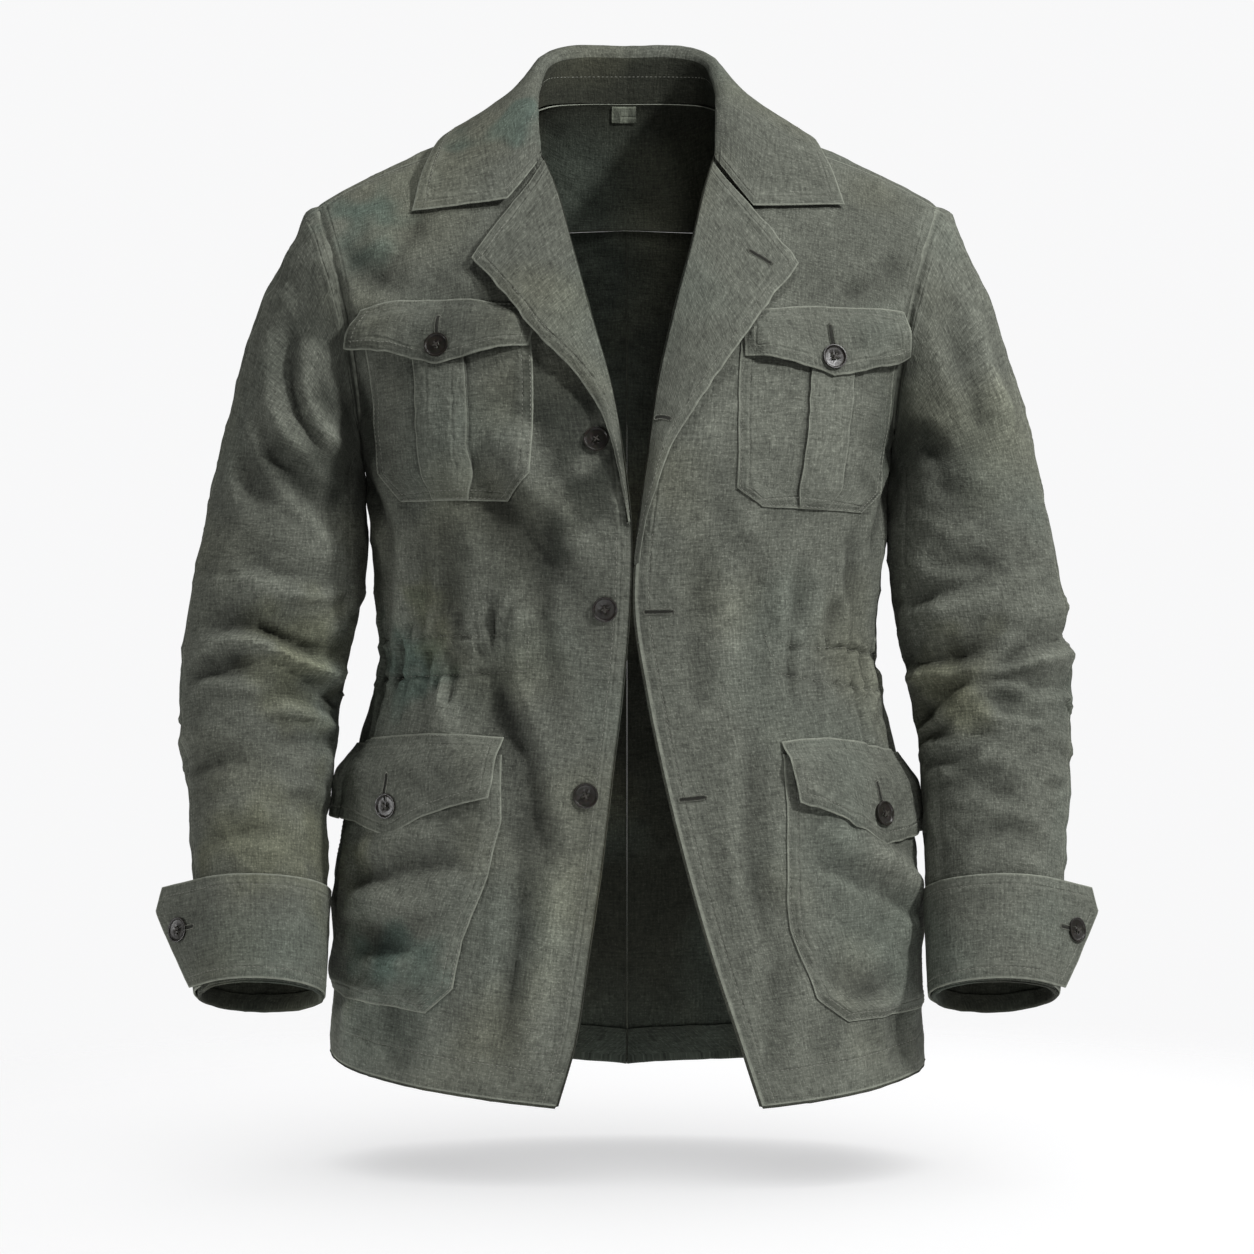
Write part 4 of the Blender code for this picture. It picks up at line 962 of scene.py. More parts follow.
YOKE_FOLDS = [
    (-0.0020, 0.009, 0.2, [(-0.92, 0.55), (-0.74, 0.62), (-0.58, 0.80)]),
    (-0.0018, 0.009, -0.2, [(0.90, 0.60), (0.72, 0.58), (0.56, 0.76)]),
    (-0.0020, 0.010, 0.2, [(0.46, 0.35), (0.62, 0.30), (0.78, 0.40)]),
    (-0.0018, 0.010, 0.2, [(-0.50, 0.30), (-0.66, 0.36), (-0.80, 0.30)]),
]


def yoke(s, t):
    """s runs -1..1 across the shoulders, t from the front and neck to the back seam."""
    side = -1 if s < 0 else 1
    a = abs(s)
    if a <= NECK_S:
        x, y, z = curve(NECK, a)
        top = Vector((side * x, y, z))
    else:
        top = front(side, (a - NECK_S) / (1 - NECK_S), 1.0)
    low = back(side, a, 1.0)
    cx, cy, cz = curve(YOKE_CROWN, a)
    crown = Vector((side * cx, cy, cz))
    p = top * (1 - t) ** 2 + crown * 2 * t * (1 - t) + low * t ** 2
    if a > 0.70:
        end_top = armhole(side, FRONT_ARM)
        end_low = armhole(side, BACK_ARM)
        end_crown = Vector((side * YOKE_CROWN[-1][1], YOKE_CROWN[-1][2], YOKE_CROWN[-1][3]))
        end = end_top * (1 - t) ** 2 + end_crown * 2 * t * (1 - t) + end_low * t ** 2
        p += (armhole(side, lerp(FRONT_ARM, BACK_ARM, t)) - end) * ((a - 0.70) / 0.30) ** 2
    return p


us = spaced(0.50)
vs = spaced(0.115)
yoke_flat = grid(lambda a, b: yoke(2 * a - 1, b), us, vs)
out = normals(yoke_flat, np.array([0.0, 0.2, 1.0]))
gap = margins(yoke_flat)
near_seam = edge_gap(gap, "left", "right", "low", "high")
lift = fold_lift(yoke_flat, out, YOKE_FOLDS, yoke) + crumple(yoke_flat, 0.0014, 0.0005)
lift = lift * ease(near_seam / SEAM_HOLD) + seam_dip(near_seam)
yoke_shaped = yoke_flat + out * lift[:, :, None]
piece = cloth("yoke_panel", yoke_shaped, out, edge=near_seam, worn=lift * WEAR_AND_SHADE)
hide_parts("back_yoke")
facing = normals(yoke_shaped, out)
sew("yoke_stitching", [stitch_line(yoke_shaped, facing, "high", 0.0060, 0.02, 0.98)])


# ---- the sleeves ---------------------------------------------------------------------
# A sleeve is a wide top piece and a narrow under piece of linen, joined by a hind
# seam and a fore seam and eased into the armhole.  The cloth breaks into hard
# creases in the bend of the elbow and rolls softly round the sleeve head.
SLEEVE = [  # t, x, y, z, half_width, half_depth, lean of the ring
    (0.30, 0.2505, -0.099, -0.300, 0.0565, 0.0610, 0.02),
    (0.39, 0.2550, -0.104, -0.353, 0.0625, 0.0590, 0.04),
    (0.50, 0.2655, -0.111, -0.420, 0.0620, 0.0575, 0.10),
    (0.58, 0.2690, -0.119, -0.465, 0.0585, 0.0550, 0.18),
    (0.65, 0.2695, -0.127, -0.500, 0.0555, 0.0520, 0.24),
    (0.75, 0.2685, -0.141, -0.550, 0.0510, 0.0490, 0.28),
    (0.87, 0.2665, -0.160, -0.610, 0.0470, 0.0460, 0.31),
    (1.00, 0.2640, -0.180, -0.667, 0.0440, 0.0440, 0.36),
]
HIND_SEAM = 0.30
FORE_SEAM = 2.55
SLEEVE_FOLDS = {  # height, width, lean, spots (angle round the sleeve, share down it)
    RIGHT: [
        (0.0044, 0.011, 0.3, [(0.63, 0.125), (1.20, 0.190), (1.75, 0.230), (2.30, 0.250)]),
        (0.0040, 0.010, 0.3, [(1.13, 0.070), (1.50, 0.130), (1.95, 0.180), (2.40, 0.205)]),
        (-0.0046, 0.009, -0.4, [(0.95, 0.110), (1.35, 0.165), (1.85, 0.205), (2.40, 0.228)]),
        (-0.0044, 0.010, 0.4, [(1.00, 0.205), (1.45, 0.260), (1.95, 0.320), (2.40, 0.370)]),
        (0.0036, 0.011, 0.0, [(1.31, 0.202), (1.77, 0.250), (2.22, 0.314)]),
        (-0.0030, 0.010, 0.3, [(0.75, 0.240), (1.10, 0.300), (1.50, 0.350)]),
        (-0.0034, 0.008, 0.4, [(1.00, 0.385), (1.50, 0.405), (2.00, 0.425), (2.5, 0.432)]),
        (-0.0030, 0.007, -0.4, [(1.55, 0.456), (2.09, 0.452), (2.70, 0.442)]),
        (-0.0058, 0.009, 0.5, [(0.30, 0.500), (0.90, 0.482), (1.48, 0.479), (2.35, 0.514), (3.3, 0.520)]),
        (-0.0036, 0.008, -0.4, [(0.95, 0.503), (1.80, 0.527), (2.60, 0.560)]),
        (-0.0036, 0.008, 0.4, [(0.50, 0.545), (1.10, 0.538), (1.85, 0.552)]),
        (-0.0040, 0.008, 0.4, [(1.25, 0.602), (1.96, 0.569), (2.66, 0.581), (3.2, 0.60)]),
        (-0.0030, 0.007, -0.3, [(1.80, 0.642), (2.75, 0.626), (3.2, 0.62)]),
        (-0.0028, 0.008, 0.3, [(-0.10, 0.656), (0.80, 0.672), (1.85, 0.682)]),
        (-0.0024, 0.010, 0.2, [(0.11, 0.085), (0.93, 0.060)]),
        (-0.0028, 0.008, 0.3, [(0.60, 0.790), (1.40, 0.775), (2.40, 0.785)]),
        (-0.0024, 0.008, -0.3, [(1.60, 0.735), (2.40, 0.722), (3.20, 0.735)]),
    ],
    LEFT: [
        (-0.0028, 0.008, 0.3, [(2.30, 0.402), (1.80, 0.400), (1.35, 0.392)]),
        (-0.0034, 0.008, 0.4, [(2.70, 0.450), (2.252, 0.441), (1.791, 0.427), (1.20, 0.398)]),
        (-0.0058, 0.009, 0.5, [(3.25, 0.512), (2.955, 0.520), (1.977, 0.516), (1.00, 0.468)]),
        (-0.0038, 0.008, 0.4, [(1.75, 0.528), (1.012, 0.502), (0.20, 0.490), (-0.40, 0.492)]),
        (-0.0052, 0.009, 0.5, [(3.20, 0.590), (2.75, 0.588), (2.330, 0.574), (1.80, 0.534)]),
        (-0.0034, 0.008, -0.4, [(2.10, 0.560), (1.50, 0.548), (0.90, 0.537)]),
        (-0.0034, 0.008, 0.4, [(1.40, 0.563), (0.60, 0.552), (-0.10, 0.542)]),
        (-0.0028, 0.007, -0.3, [(2.40, 0.584), (1.62, 0.579), (1.05, 0.584)]),
        (-0.0034, 0.008, 0.4, [(3.10, 0.610), (2.50, 0.624), (1.50, 0.640)]),
        (-0.0030, 0.007, 0.3, [(3.00, 0.658), (2.18, 0.668), (1.75, 0.640)]),
        (-0.0024, 0.007, -0.3, [(2.40, 0.679), (1.50, 0.683)]),
        (-0.0030, 0.008, 0.3, [(2.50, 0.702), (1.856, 0.713), (1.20, 0.734)]),
        (0.0026, 0.011, 0.0, [(0.70, 0.05), (0.90, 0.16), (0.80, 0.26)]),
        (-0.0026, 0.010, 0.2, [(1.10, 0.06), (1.25, 0.16), (1.15, 0.25)]),
        (-0.0024, 0.010, 0.2, [(2.30, 0.16), (2.00, 0.24), (1.90, 0.33)]),
        (-0.0024, 0.008, 0.3, [(0.70, 0.785), (1.50, 0.770), (2.40, 0.785)]),
    ],
}
HIDDEN_SLEEVE_FOLDS = [  # the side away from the front, the same on both sleeves
    (-0.0032, 0.009, 0.3, [(3.30, 0.46), (4.00, 0.455), (4.60, 0.445)]),
    (-0.0040, 0.009, -0.3, [(3.20, 0.50), (3.90, 0.52), (4.80, 0.515), (5.40, 0.50)]),
    (-0.0034, 0.009, 0.4, [(3.30, 0.57), (4.10, 0.59), (4.80, 0.60)]),
    (-0.0030, 0.008, 0.3, [(4.40, 0.55), (5.20, 0.56), (6.00, 0.55)]),
    (-0.0028, 0.009, -0.3, [(3.30, 0.65), (4.20, 0.67), (5.00, 0.68)]),
    (-0.0026, 0.010, 0.2, [(3.60, 0.20), (3.90, 0.30), (4.00, 0.40)]),
    (-0.0028, 0.011, 0.2, [(4.90, 0.10), (4.70, 0.22), (4.50, 0.34)]),
    (0.0024, 0.012, 0.0, [(5.60, 0.10), (5.50, 0.24), (5.40, 0.38)]),
    (-0.0024, 0.009, 0.2, [(4.80, 0.77), (5.60, 0.79), (6.20, 0.78)]),
]


def ring(side, phi, t):
    x, y, z, width, depth, lean = curve(SLEEVE, t)
    px = x + width * math.cos(phi)
    py = y - depth * math.sin(phi) * math.cos(lean)
    pz = z + depth * math.sin(phi) * math.sin(lean)
    return Vector((side * px, py, pz))


def sleeve(side, phi, t):
    """phi 0 outside, +90 degrees at the front; t from the armhole to the wrist."""
    first = SLEEVE[0][0]
    if t >= first:
        return ring(side, phi, t)
    away = 0.0006 + 0.0008 * max(0.0, math.cos(phi))
    start = armhole(side, phi) + Vector((side * away, 0.0, 0.0))
    end = ring(side, phi, first)
    reach = (end - start).length
    go = Vector((side * (0.28 + 0.28 * math.cos(phi)), -0.22 * math.sin(phi), -0.83)).normalized()
    land = (ring(side, phi, first + 0.02) - end).normalized()
    q = t / first
    p = start * (2 * q ** 3 - 3 * q ** 2 + 1) + end * (3 * q ** 2 - 2 * q ** 3)
    return p + go * reach * (q ** 3 - 2 * q ** 2 + q) + land * reach * (q ** 3 - q ** 2)


def elbow_breaks(side):
    """Long low creases stacked round the elbow, drawn together towards its crook."""
    folds = []
    for k in range(40):
        a, b, c = (noise.cell(Vector((k * 1.37 + shift, side * 3.1 + shift, shift)))
                   for shift in (0.5, 7.5, 3.5))
        t = 0.34 + 0.48 * (k + b) / 40
        middle = -0.3 + 6.2 * ((k * 0.382 + 0.25 * a) % 1.0)
        reach = 0.38 + 0.45 * c
        near_bend = math.exp(-((t - 0.55) / 0.12) ** 2)
        tilt = 0.016 * (b - 0.35)
        spots = []
        for d in (-1.0, -0.35, 0.35, 1.0):
            phi = middle + d * reach
            draw = 1.0 - 0.45 * max(0.0, math.cos(phi - 2.5))
            spots.append((phi, 0.54 + (t - 0.54) * draw + d * tilt + 0.006 * (1 - d * d)))
        depth = (0.0008 + 0.0018 * near_bend) * (0.7 + 0.8 * b)
        folds.append((-depth, 0.0044 + 0.0020 * c, 0.9 * (a - 0.3), spots))
    return folds


sleeve_shape = {}
sleeve_rows = []
for side, word in SIDES:
    parts = [spaced(0.105, step=0.0032), spaced(0.235, step=0.0032)]
    phis = [lerp(HIND_SEAM, FORE_SEAM, a) for a in parts[0]]
    fore = len(phis) - 1
    phis += [lerp(FORE_SEAM, HIND_SEAM + 2 * math.pi, a) for a in parts[1][1:]]
    ts = spaced(0.60, start=True, end=True, step=0.0028)
    flat = grid(lambda a, b: sleeve(side, a, b), phis, ts)
    out = normals(flat, flat - flat[:, :-1].mean(axis=1, keepdims=True))
    gap = margins(flat)
    folds = SLEEVE_FOLDS[side] + HIDDEN_SLEEVE_FOLDS + elbow_breaks(side)
    lift = CREASED["sleeve"] * fold_lift(flat, out, folds, lambda a, b: sleeve(side, a, b))
    head = gap["low"]
    ease_in = np.zeros(flat.shape[:2])
    for j, phi in enumerate(phis):
        top = max(0.0, math.cos(phi)) ** 0.6
        wave = 0.0011 * top * math.sin(phi * 17 + 2.0 * math.sin(phi * 5))
        ease_in[:, j] = wave * np.exp(-((head[:, j] - 0.010) / 0.014) ** 2)
    lift = (lift + crumple(flat, 0.0024, 0.0010, 5.0)) * ease(head / 0.014)
    lift = lift + ease_in + seam_dip(head, 0.0014, 0.004)
    outer = np.array([max(0.0, math.cos(p)) for p in phis])[None, :]
    lift += 0.0026 * np.exp(-((head - 0.012) / 0.012) ** 2) * outer
    fore_gap = np.abs(gap["left"] - gap["left"][:, fore:fore + 1])
    hind_gap = np.minimum(gap["left"], gap["right"])
    lift += seam_dip(fore_gap, 0.0009, 0.0026) + seam_dip(hind_gap, 0.0009, 0.0026)
    lift[:, -1] = lift[:, 0]
    shaped = flat + out * lift[:, :, None]
    tuck = np.exp(-(head / 0.0012) ** 2)[:, :, None]
    shaped -= tuck * np.array([side * 0.0030, 0.0, 0.0])
    shaped[:, -1] = shaped[:, 0]
    sleeve_shape[side] = (shaped, out)
    for name, cols, cut, hind in (("sleeve_top", slice(0, fore + 1), (0.142, 0.600, 0.066), "left"),
                                  ("sleeve_under", slice(fore, None), (0.262, 0.600, 0.118), "right")):
        net = shaped[:, cols]
        edge = np.minimum(margins(net)[hind] + 0.0006, head[:, cols])
        # the sleeve's lift also colours it: paler rubbed ridges, painted shade in the creases
        piece = cloth(name + "_panel_" + word, net, out[:, cols], hems=(("high", 0.012, 0.0010),), edge=edge,
                      worn=lift[:, cols] * 300)
        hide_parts(name + "_" + word)
    facing = normals(shaped, out)
    sleeve_rows.append(stitch_line(shaped[:, :fore + 1], facing[:, :fore + 1], "left", 0.0050, 0.02, 0.86))
sew("sleeve_stitching", sleeve_rows)


# ---- the lapels --------------------------------------------------------------------
# The facing turns outwards above the top button as a pointed lapel of two layers.
# It rolls softly at the fold, lies on the chest flap and is topstitched all round.
DOUBLE = 0.0016
LAPEL = {
    RIGHT: [  # f, up_at_roll, across_at_edge, up_at_edge
        (0.00, 0.556, 0.0020, 0.5580),
        (0.12, 0.590, 0.0130, 0.6010),
        (0.25, 0.620, 0.0220, 0.6330),
        (0.38, 0.658, 0.0360, 0.6580),
        (0.50, 0.700, 0.0640, 0.6850),
        (0.62, 0.746, 0.1060, 0.7133),
        (0.74, 0.795, 0.1600, 0.7475),
        (0.87, 0.856, 0.2249, 0.7933),
        (1.00, 0.943, 0.3026, 0.8398),
    ],
    LEFT: [
        (0.00, 0.5200, 0.0090, 0.5220),
        (0.15, 0.5800, 0.0150, 0.5600),
        (0.30, 0.6250, 0.0330, 0.5950),
        (0.42, 0.6650, 0.0540, 0.6230),
        (0.52, 0.7040, 0.0790, 0.6450),
        (0.62, 0.7450, 0.1068, 0.6661),
        (0.75, 0.8000, 0.1600, 0.7080),
        (0.87, 0.8620, 0.2300, 0.7640),
        (1.00, 0.9400, 0.3385, 0.8367),
    ],
}
LAPEL_RISE = [  # f, air under the outer edge: it lies over a button and the chest flap
    (0.00, 0.0010),
    (0.12, 0.0030),
    (0.25, 0.0062),
    (0.42, 0.0038),
    (0.62, 0.0072),
    (0.85, 0.0076),
    (1.00, 0.0040),
]


def lapel_spot(side, f, t):
    roll, edge_u, edge_v = curve(LAPEL[side], f)
    return lerp(0.0, edge_u, t), lerp(roll, edge_v, t)


def laid(side, spot, across, down):
    """Grid of places on the front, and its outward directions."""
    both = np.array([[on_front(side, *spot(a, b)) for a in across] for b in down])
    return both[:, :, 0], both[:, :, 1]


def rounded(distance, radius):
    """How far a plump edge has sunk at a distance in from its rim."""
    x = np.clip(distance / radius, 0.0, 1.0)
    return radius * (1 - np.sqrt(1 - (1 - x) ** 2))


lapel_rows = []
lapel_shape = {}
for side, word in SIDES:
    fs = spaced(0.37, end=True)
    across = spaced(0.085, end=True)
    base, out = laid(side, lambda t, f: lapel_spot(side, f, t), across, fs)
    gap = margins(base)
    rise = np.array([curve(LAPEL_RISE, f)[0] for f in fs])[:, None] * ease(np.array(across))[None, :] ** 0.8
    bulge = 0.0022 * np.sin(np.pi * np.array(across))[None, :] * np.sin(np.pi * np.array(fs))[:, None]
    lift = 0.0010 * ease(np.array(fs) / 0.15)[:, None] + rise + bulge + DOUBLE
    lift = lift + crumple(base, 0.0007, 0.0003, 2.0)
    rim = edge_gap(gap, "right", "high")
    lift -= rounded(rim, DOUBLE * 0.3)
    net = base + out * lift[:, :, None]
    inward = unit(base[:, 1] - base[:, 0])
    roll = []
    radius = 0.0017
    for angle in (150, 115, 80, 45, 15):
        a = math.radians(angle)
        roll.append(net[:, 0] - out[:, 0] * radius * (1 - math.cos(a)) - inward * radius * math.sin(a))
    net = np.concatenate([np.stack(roll, axis=1), net], axis=1)
    look = np.concatenate([np.repeat(out[:, :1], 5, axis=1), out], axis=1)
    rim = np.concatenate([np.full((len(fs), 5), 0.03), rim], axis=1)
    piece = cloth("lapel_piece_" + word, net, look, wall=DOUBLE, edge=rim)
    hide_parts("lapel_" + word)
    facing = normals(net, look)
    lapel_shape[side] = (net[:, 5:], facing[:, 5:], across, fs)
    lapel_rows.append(stitch_line(net, facing, "right", 0.0080, 0.03, 0.975))
    lapel_rows.append(stitch_line(net[:, 5:], facing[:, 5:], "high", 0.0080, 0.50, 0.93))
sew("lapel_stitching", lapel_rows)


# ---- the collar --------------------------------------------------------------------
# The collar stands up from the neck seam, rolls over and falls to its long points.
# It is two layers of linen, topstitched along the free edge, with a notch at each
# end where it meets the lapel.
NOTCH = {RIGHT: (0.1537, 0.8899), LEFT: (0.1661, 0.8830)}
COLLAR_POINT = {RIGHT: (0.5195, 0.9079), LEFT: (0.5134, 0.9153)}
COLLAR = [  # s, then x y z of the roll line, the bend, the middle, the outer edge
    (0.00, 0.0, -0.0050, 0.0385, 0.0, 0.0030, 0.0450, 0.0, 0.0160, 0.0180, 0.0, 0.0210, -0.0200),
    (0.20, 0.0360, -0.0095, 0.0380, 0.0400, -0.0020, 0.0445,
     0.0470, 0.0130, 0.0160, 0.0520, 0.0190, -0.0220),
    (0.42, 0.0590, -0.0290, 0.0270, 0.0655, -0.0240, 0.0325,
     0.0820, -0.0080, 0.0040, 0.0960, -0.0040, -0.0350),
    (0.52, 0.0620, -0.0430, 0.0165, 0.0690, -0.0400, 0.0225,
     0.0900, -0.0310, 0.0020, 0.1160, -0.0280, -0.0255),
    (0.62, 0.0640, -0.0590, 0.0040, 0.0715, -0.0580, 0.0095,
     0.0970, -0.0590, -0.0065, 0.1335, -0.0620, -0.0310),
    (0.80, 0.0645, -0.0870, -0.0180, 0.0725, -0.0890, -0.0140,
     0.1010, -0.1010, -0.0360, 0.1485, -0.1100, -0.0590),
]
COLLAR_T = (0.0, 0.16, 0.50, 1.0)
COLLAR_FOLDS = [
    (-0.0014, 0.008, 0.2, [(-0.86, 0.30), (-0.80, 0.60), (-0.78, 0.95)]),
    (-0.0012, 0.008, 0.2, [(0.80, 0.30), (0.84, 0.60), (0.82, 0.95)]),
    (-0.0012, 0.010, 0.2, [(0.10, 0.30), (0.14, 0.60), (0.12, 0.95)]),
    (-0.0012, 0.010, 0.2, [(-0.30, 0.30), (-0.34, 0.65), (-0.30, 0.95)]),
]


def collar_end(side):
    """Last column of the collar: gorge seam, notch, free front edge, point."""
    u, v = NOTCH[side]
    high = lapel_spot(side, 1.0, 0.0)[1]
    spots = ((0.0, high, 0.0030), (u * 0.32, lerp(high, v, 0.32), 0.0036), (u, v, 0.0048),
             (*COLLAR_POINT[side], 0.0040))
    return [on_front(side, a, b, lift)[0] for a, b, lift in spots]


collar_ends = {side: collar_end(side) for side in (RIGHT, LEFT)}


def collar_fall(s, t):
    side = -1 if s < 0 else 1
    a = min(abs(s), 1.0)
    end = [(side * p[0], p[1], p[2]) for p in collar_ends[side]]
    row = curve(COLLAR + [(1.0,) + tuple(value for p in end for value in p)], a)
    sharp = max(0.0, (a - COLLAR[-1][0]) / (1.0 - COLLAR[-1][0]))
    points = [Vector((side * row[i], row[i + 1], row[i + 2])) for i in (0, 3, 6, 9)]
    table = [(key, p.x, p.y, p.z) for key, p in zip(COLLAR_T, points)]
    return Vector(curve(table, t)) * (1 - sharp) + Vector(straight(table, t)) * sharp


def neck_seam(s):
    """Neck seam from the centre back to the gorge, s as along the collar."""
    side = -1 if s < 0 else 1
    a = abs(s)
    if a < 0.78:
        x, y, z = curve(NECK, a / 0.78 * NECK_S)
        return Vector((side * x, y, z))
    return front(side, 0.0, lerp(1.0, 0.955, (a - 0.78) / 0.22))


def collar(s, t):
    """t 0..1 up the stand, 1..2 down the fall."""
    if t > 1:
        return collar_fall(s, t - 1)
    low = neck_seam(s) + Vector((0.0, 0.0, 0.0004))
    return low * (1 - t) + collar_fall(s, 0.0) * t


us = [0.5 + 0.49 * (2 * a - 1) for a in spaced(0.56, start=True, end=True)]
vs = spaced(0.034) + [1 + b for b in spaced(0.070, end=True)[1:]]
roll = len(spaced(0.034)) - 1
collar_flat = grid(lambda a, b: collar(2 * a - 1, b), us, vs)
for k in range(2):
    smoother = collar_flat.copy()
    around = collar_flat[roll - 2:roll + 1] + collar_flat[roll:roll + 3]
    smoother[roll - 1:roll + 2] = (around + 2 * collar_flat[roll - 1:roll + 2]) / 4
    collar_flat = smoother
look = outward(collar_flat, -0.062)
look *= np.where(np.arange(len(vs)) > roll + 3, 1.0, 0.0)[:, None, None]
out = normals(collar_flat, look)
gap = margins(collar_flat)
rim = edge_gap(gap, "left", "right", "high")
fall = (np.array(vs) > 1.05)[:, None]
lift = fold_lift(collar_flat, out, COLLAR_FOLDS, collar_fall) * fall
lift = lift + crumple(collar_flat, 0.0007, 0.0003, 3.0)
lift = lift * ease(gap["low"] / 0.01) - rounded(rim, DOUBLE * 0.3)
collar_shaped = collar_flat + out * lift[:, :, None]
collar_rim = np.where(fall, rim, 0.03)
piece = cloth("collar_piece", collar_shaped, out, wall=DOUBLE, edge=collar_rim)
# the stand's visible face gets the dark inside linen: painted shade in the hollow of the collar
for face in piece.data.polygons:
    if max((i % (len(us) * len(vs))) // len(us) for i in face.vertices) <= roll - 1:
        face.material_index = 1
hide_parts("collar_fall", "collar_stand")
facing = normals(collar_shaped, out)
sew("collar_stitching", [stitch_line(collar_shaped, facing, "high", 0.0090, 0.03, 0.97),
                         stitch_line(collar_shaped[roll + 8:], facing[roll + 8:], "left", 0.0080, 0.0, 0.9),
                         stitch_line(collar_shaped[roll + 8:], facing[roll + 8:], "right", 0.0080, 0.0, 0.9),
                         stitch_line(collar_shaped, -facing, "low", 0.0200, 0.08, 0.92)])


# ---- the chest pockets ---------------------------------------------------------------
# A patch pocket with a box pleat down its middle and clipped lower corners is
# topstitched to each chest.  A pointed flap of two layers hangs over its mouth
# from its own row of stitching and buttons through the point.
CHEST_POCKET = {
    RIGHT: [  # b, across_in, up_in, across_out, up_out
        (0.00, 0.1643, 0.7501, 0.8000, 0.7950),
        (0.84, 0.2175, 0.5973, 0.7213, 0.5942),
        (1.00, 0.2856, 0.5720, 0.6217, 0.5675),
    ],
    LEFT: [
        (0.00, 0.1981, 0.7450, 0.8950, 0.7990),
        (0.86, 0.2281, 0.5847, 0.7628, 0.5757),
        (1.00, 0.2964, 0.5668, 0.6498, 0.5571),
    ],
}
CHEST_WIDTH = 0.105
PLEAT = {RIGHT: (0.305, 0.595), LEFT: (0.320, 0.575)}
PLEAT_RISE = 0.0020
CHEST_FLAP = {
    RIGHT: [  # a, across_top, up_top, across_low, up_low
        (0.00, 0.1200, 0.7790, 0.1755, 0.7338),
        (0.18, 0.2350, 0.7860, 0.2750, 0.7332),
        (0.36, 0.3250, 0.7990, 0.3600, 0.7330),
        (0.49, 0.4087, 0.8051, 0.4444, 0.7296),
        (0.74, 0.5900, 0.8165, 0.6500, 0.7650),
        (1.00, 0.8034, 0.8223, 0.9150, 0.7915),
    ],
    LEFT: [
        (0.00, 0.1869, 0.7744, 0.2141, 0.7240),
        (0.18, 0.2700, 0.7830, 0.3050, 0.7243),
        (0.36, 0.3550, 0.7930, 0.4000, 0.7240),
        (0.50, 0.4527, 0.8002, 0.4992, 0.7204),
        (0.74, 0.6400, 0.8120, 0.7100, 0.7520),
        (1.00, 0.8900, 0.8270, 0.9500, 0.7850),
    ],
}


def pocket_spot(table, a, b):
    u_in, v_in, u_out, v_out = straight(table, b)
    return lerp(u_in, u_out, a), lerp(v_in, v_out, a)


def flap_spot(table, a, b):
    top_u, top_v, low_u, low_v = straight(table, a)
    return lerp(top_u, low_u, b), lerp(top_v, low_v, b)


def patch(side, spot, across, down):
    """Start of a piece laid on a front: its grid, facing, margins and rim, and its shares as arrays."""
    base, out = laid(side, spot, across, down)
    gap = margins(base)
    return (base, out, gap, edge_gap(gap, "left", "right", "high"), np.array(across)[None, :],
            np.array(down)[:, None])


def sewn_round(net, facing, rows):
    """Rows of stitches on a piece: the edge, how far in, and where each begins and stops."""
    return [stitch_line(net, facing, *row) for row in rows]


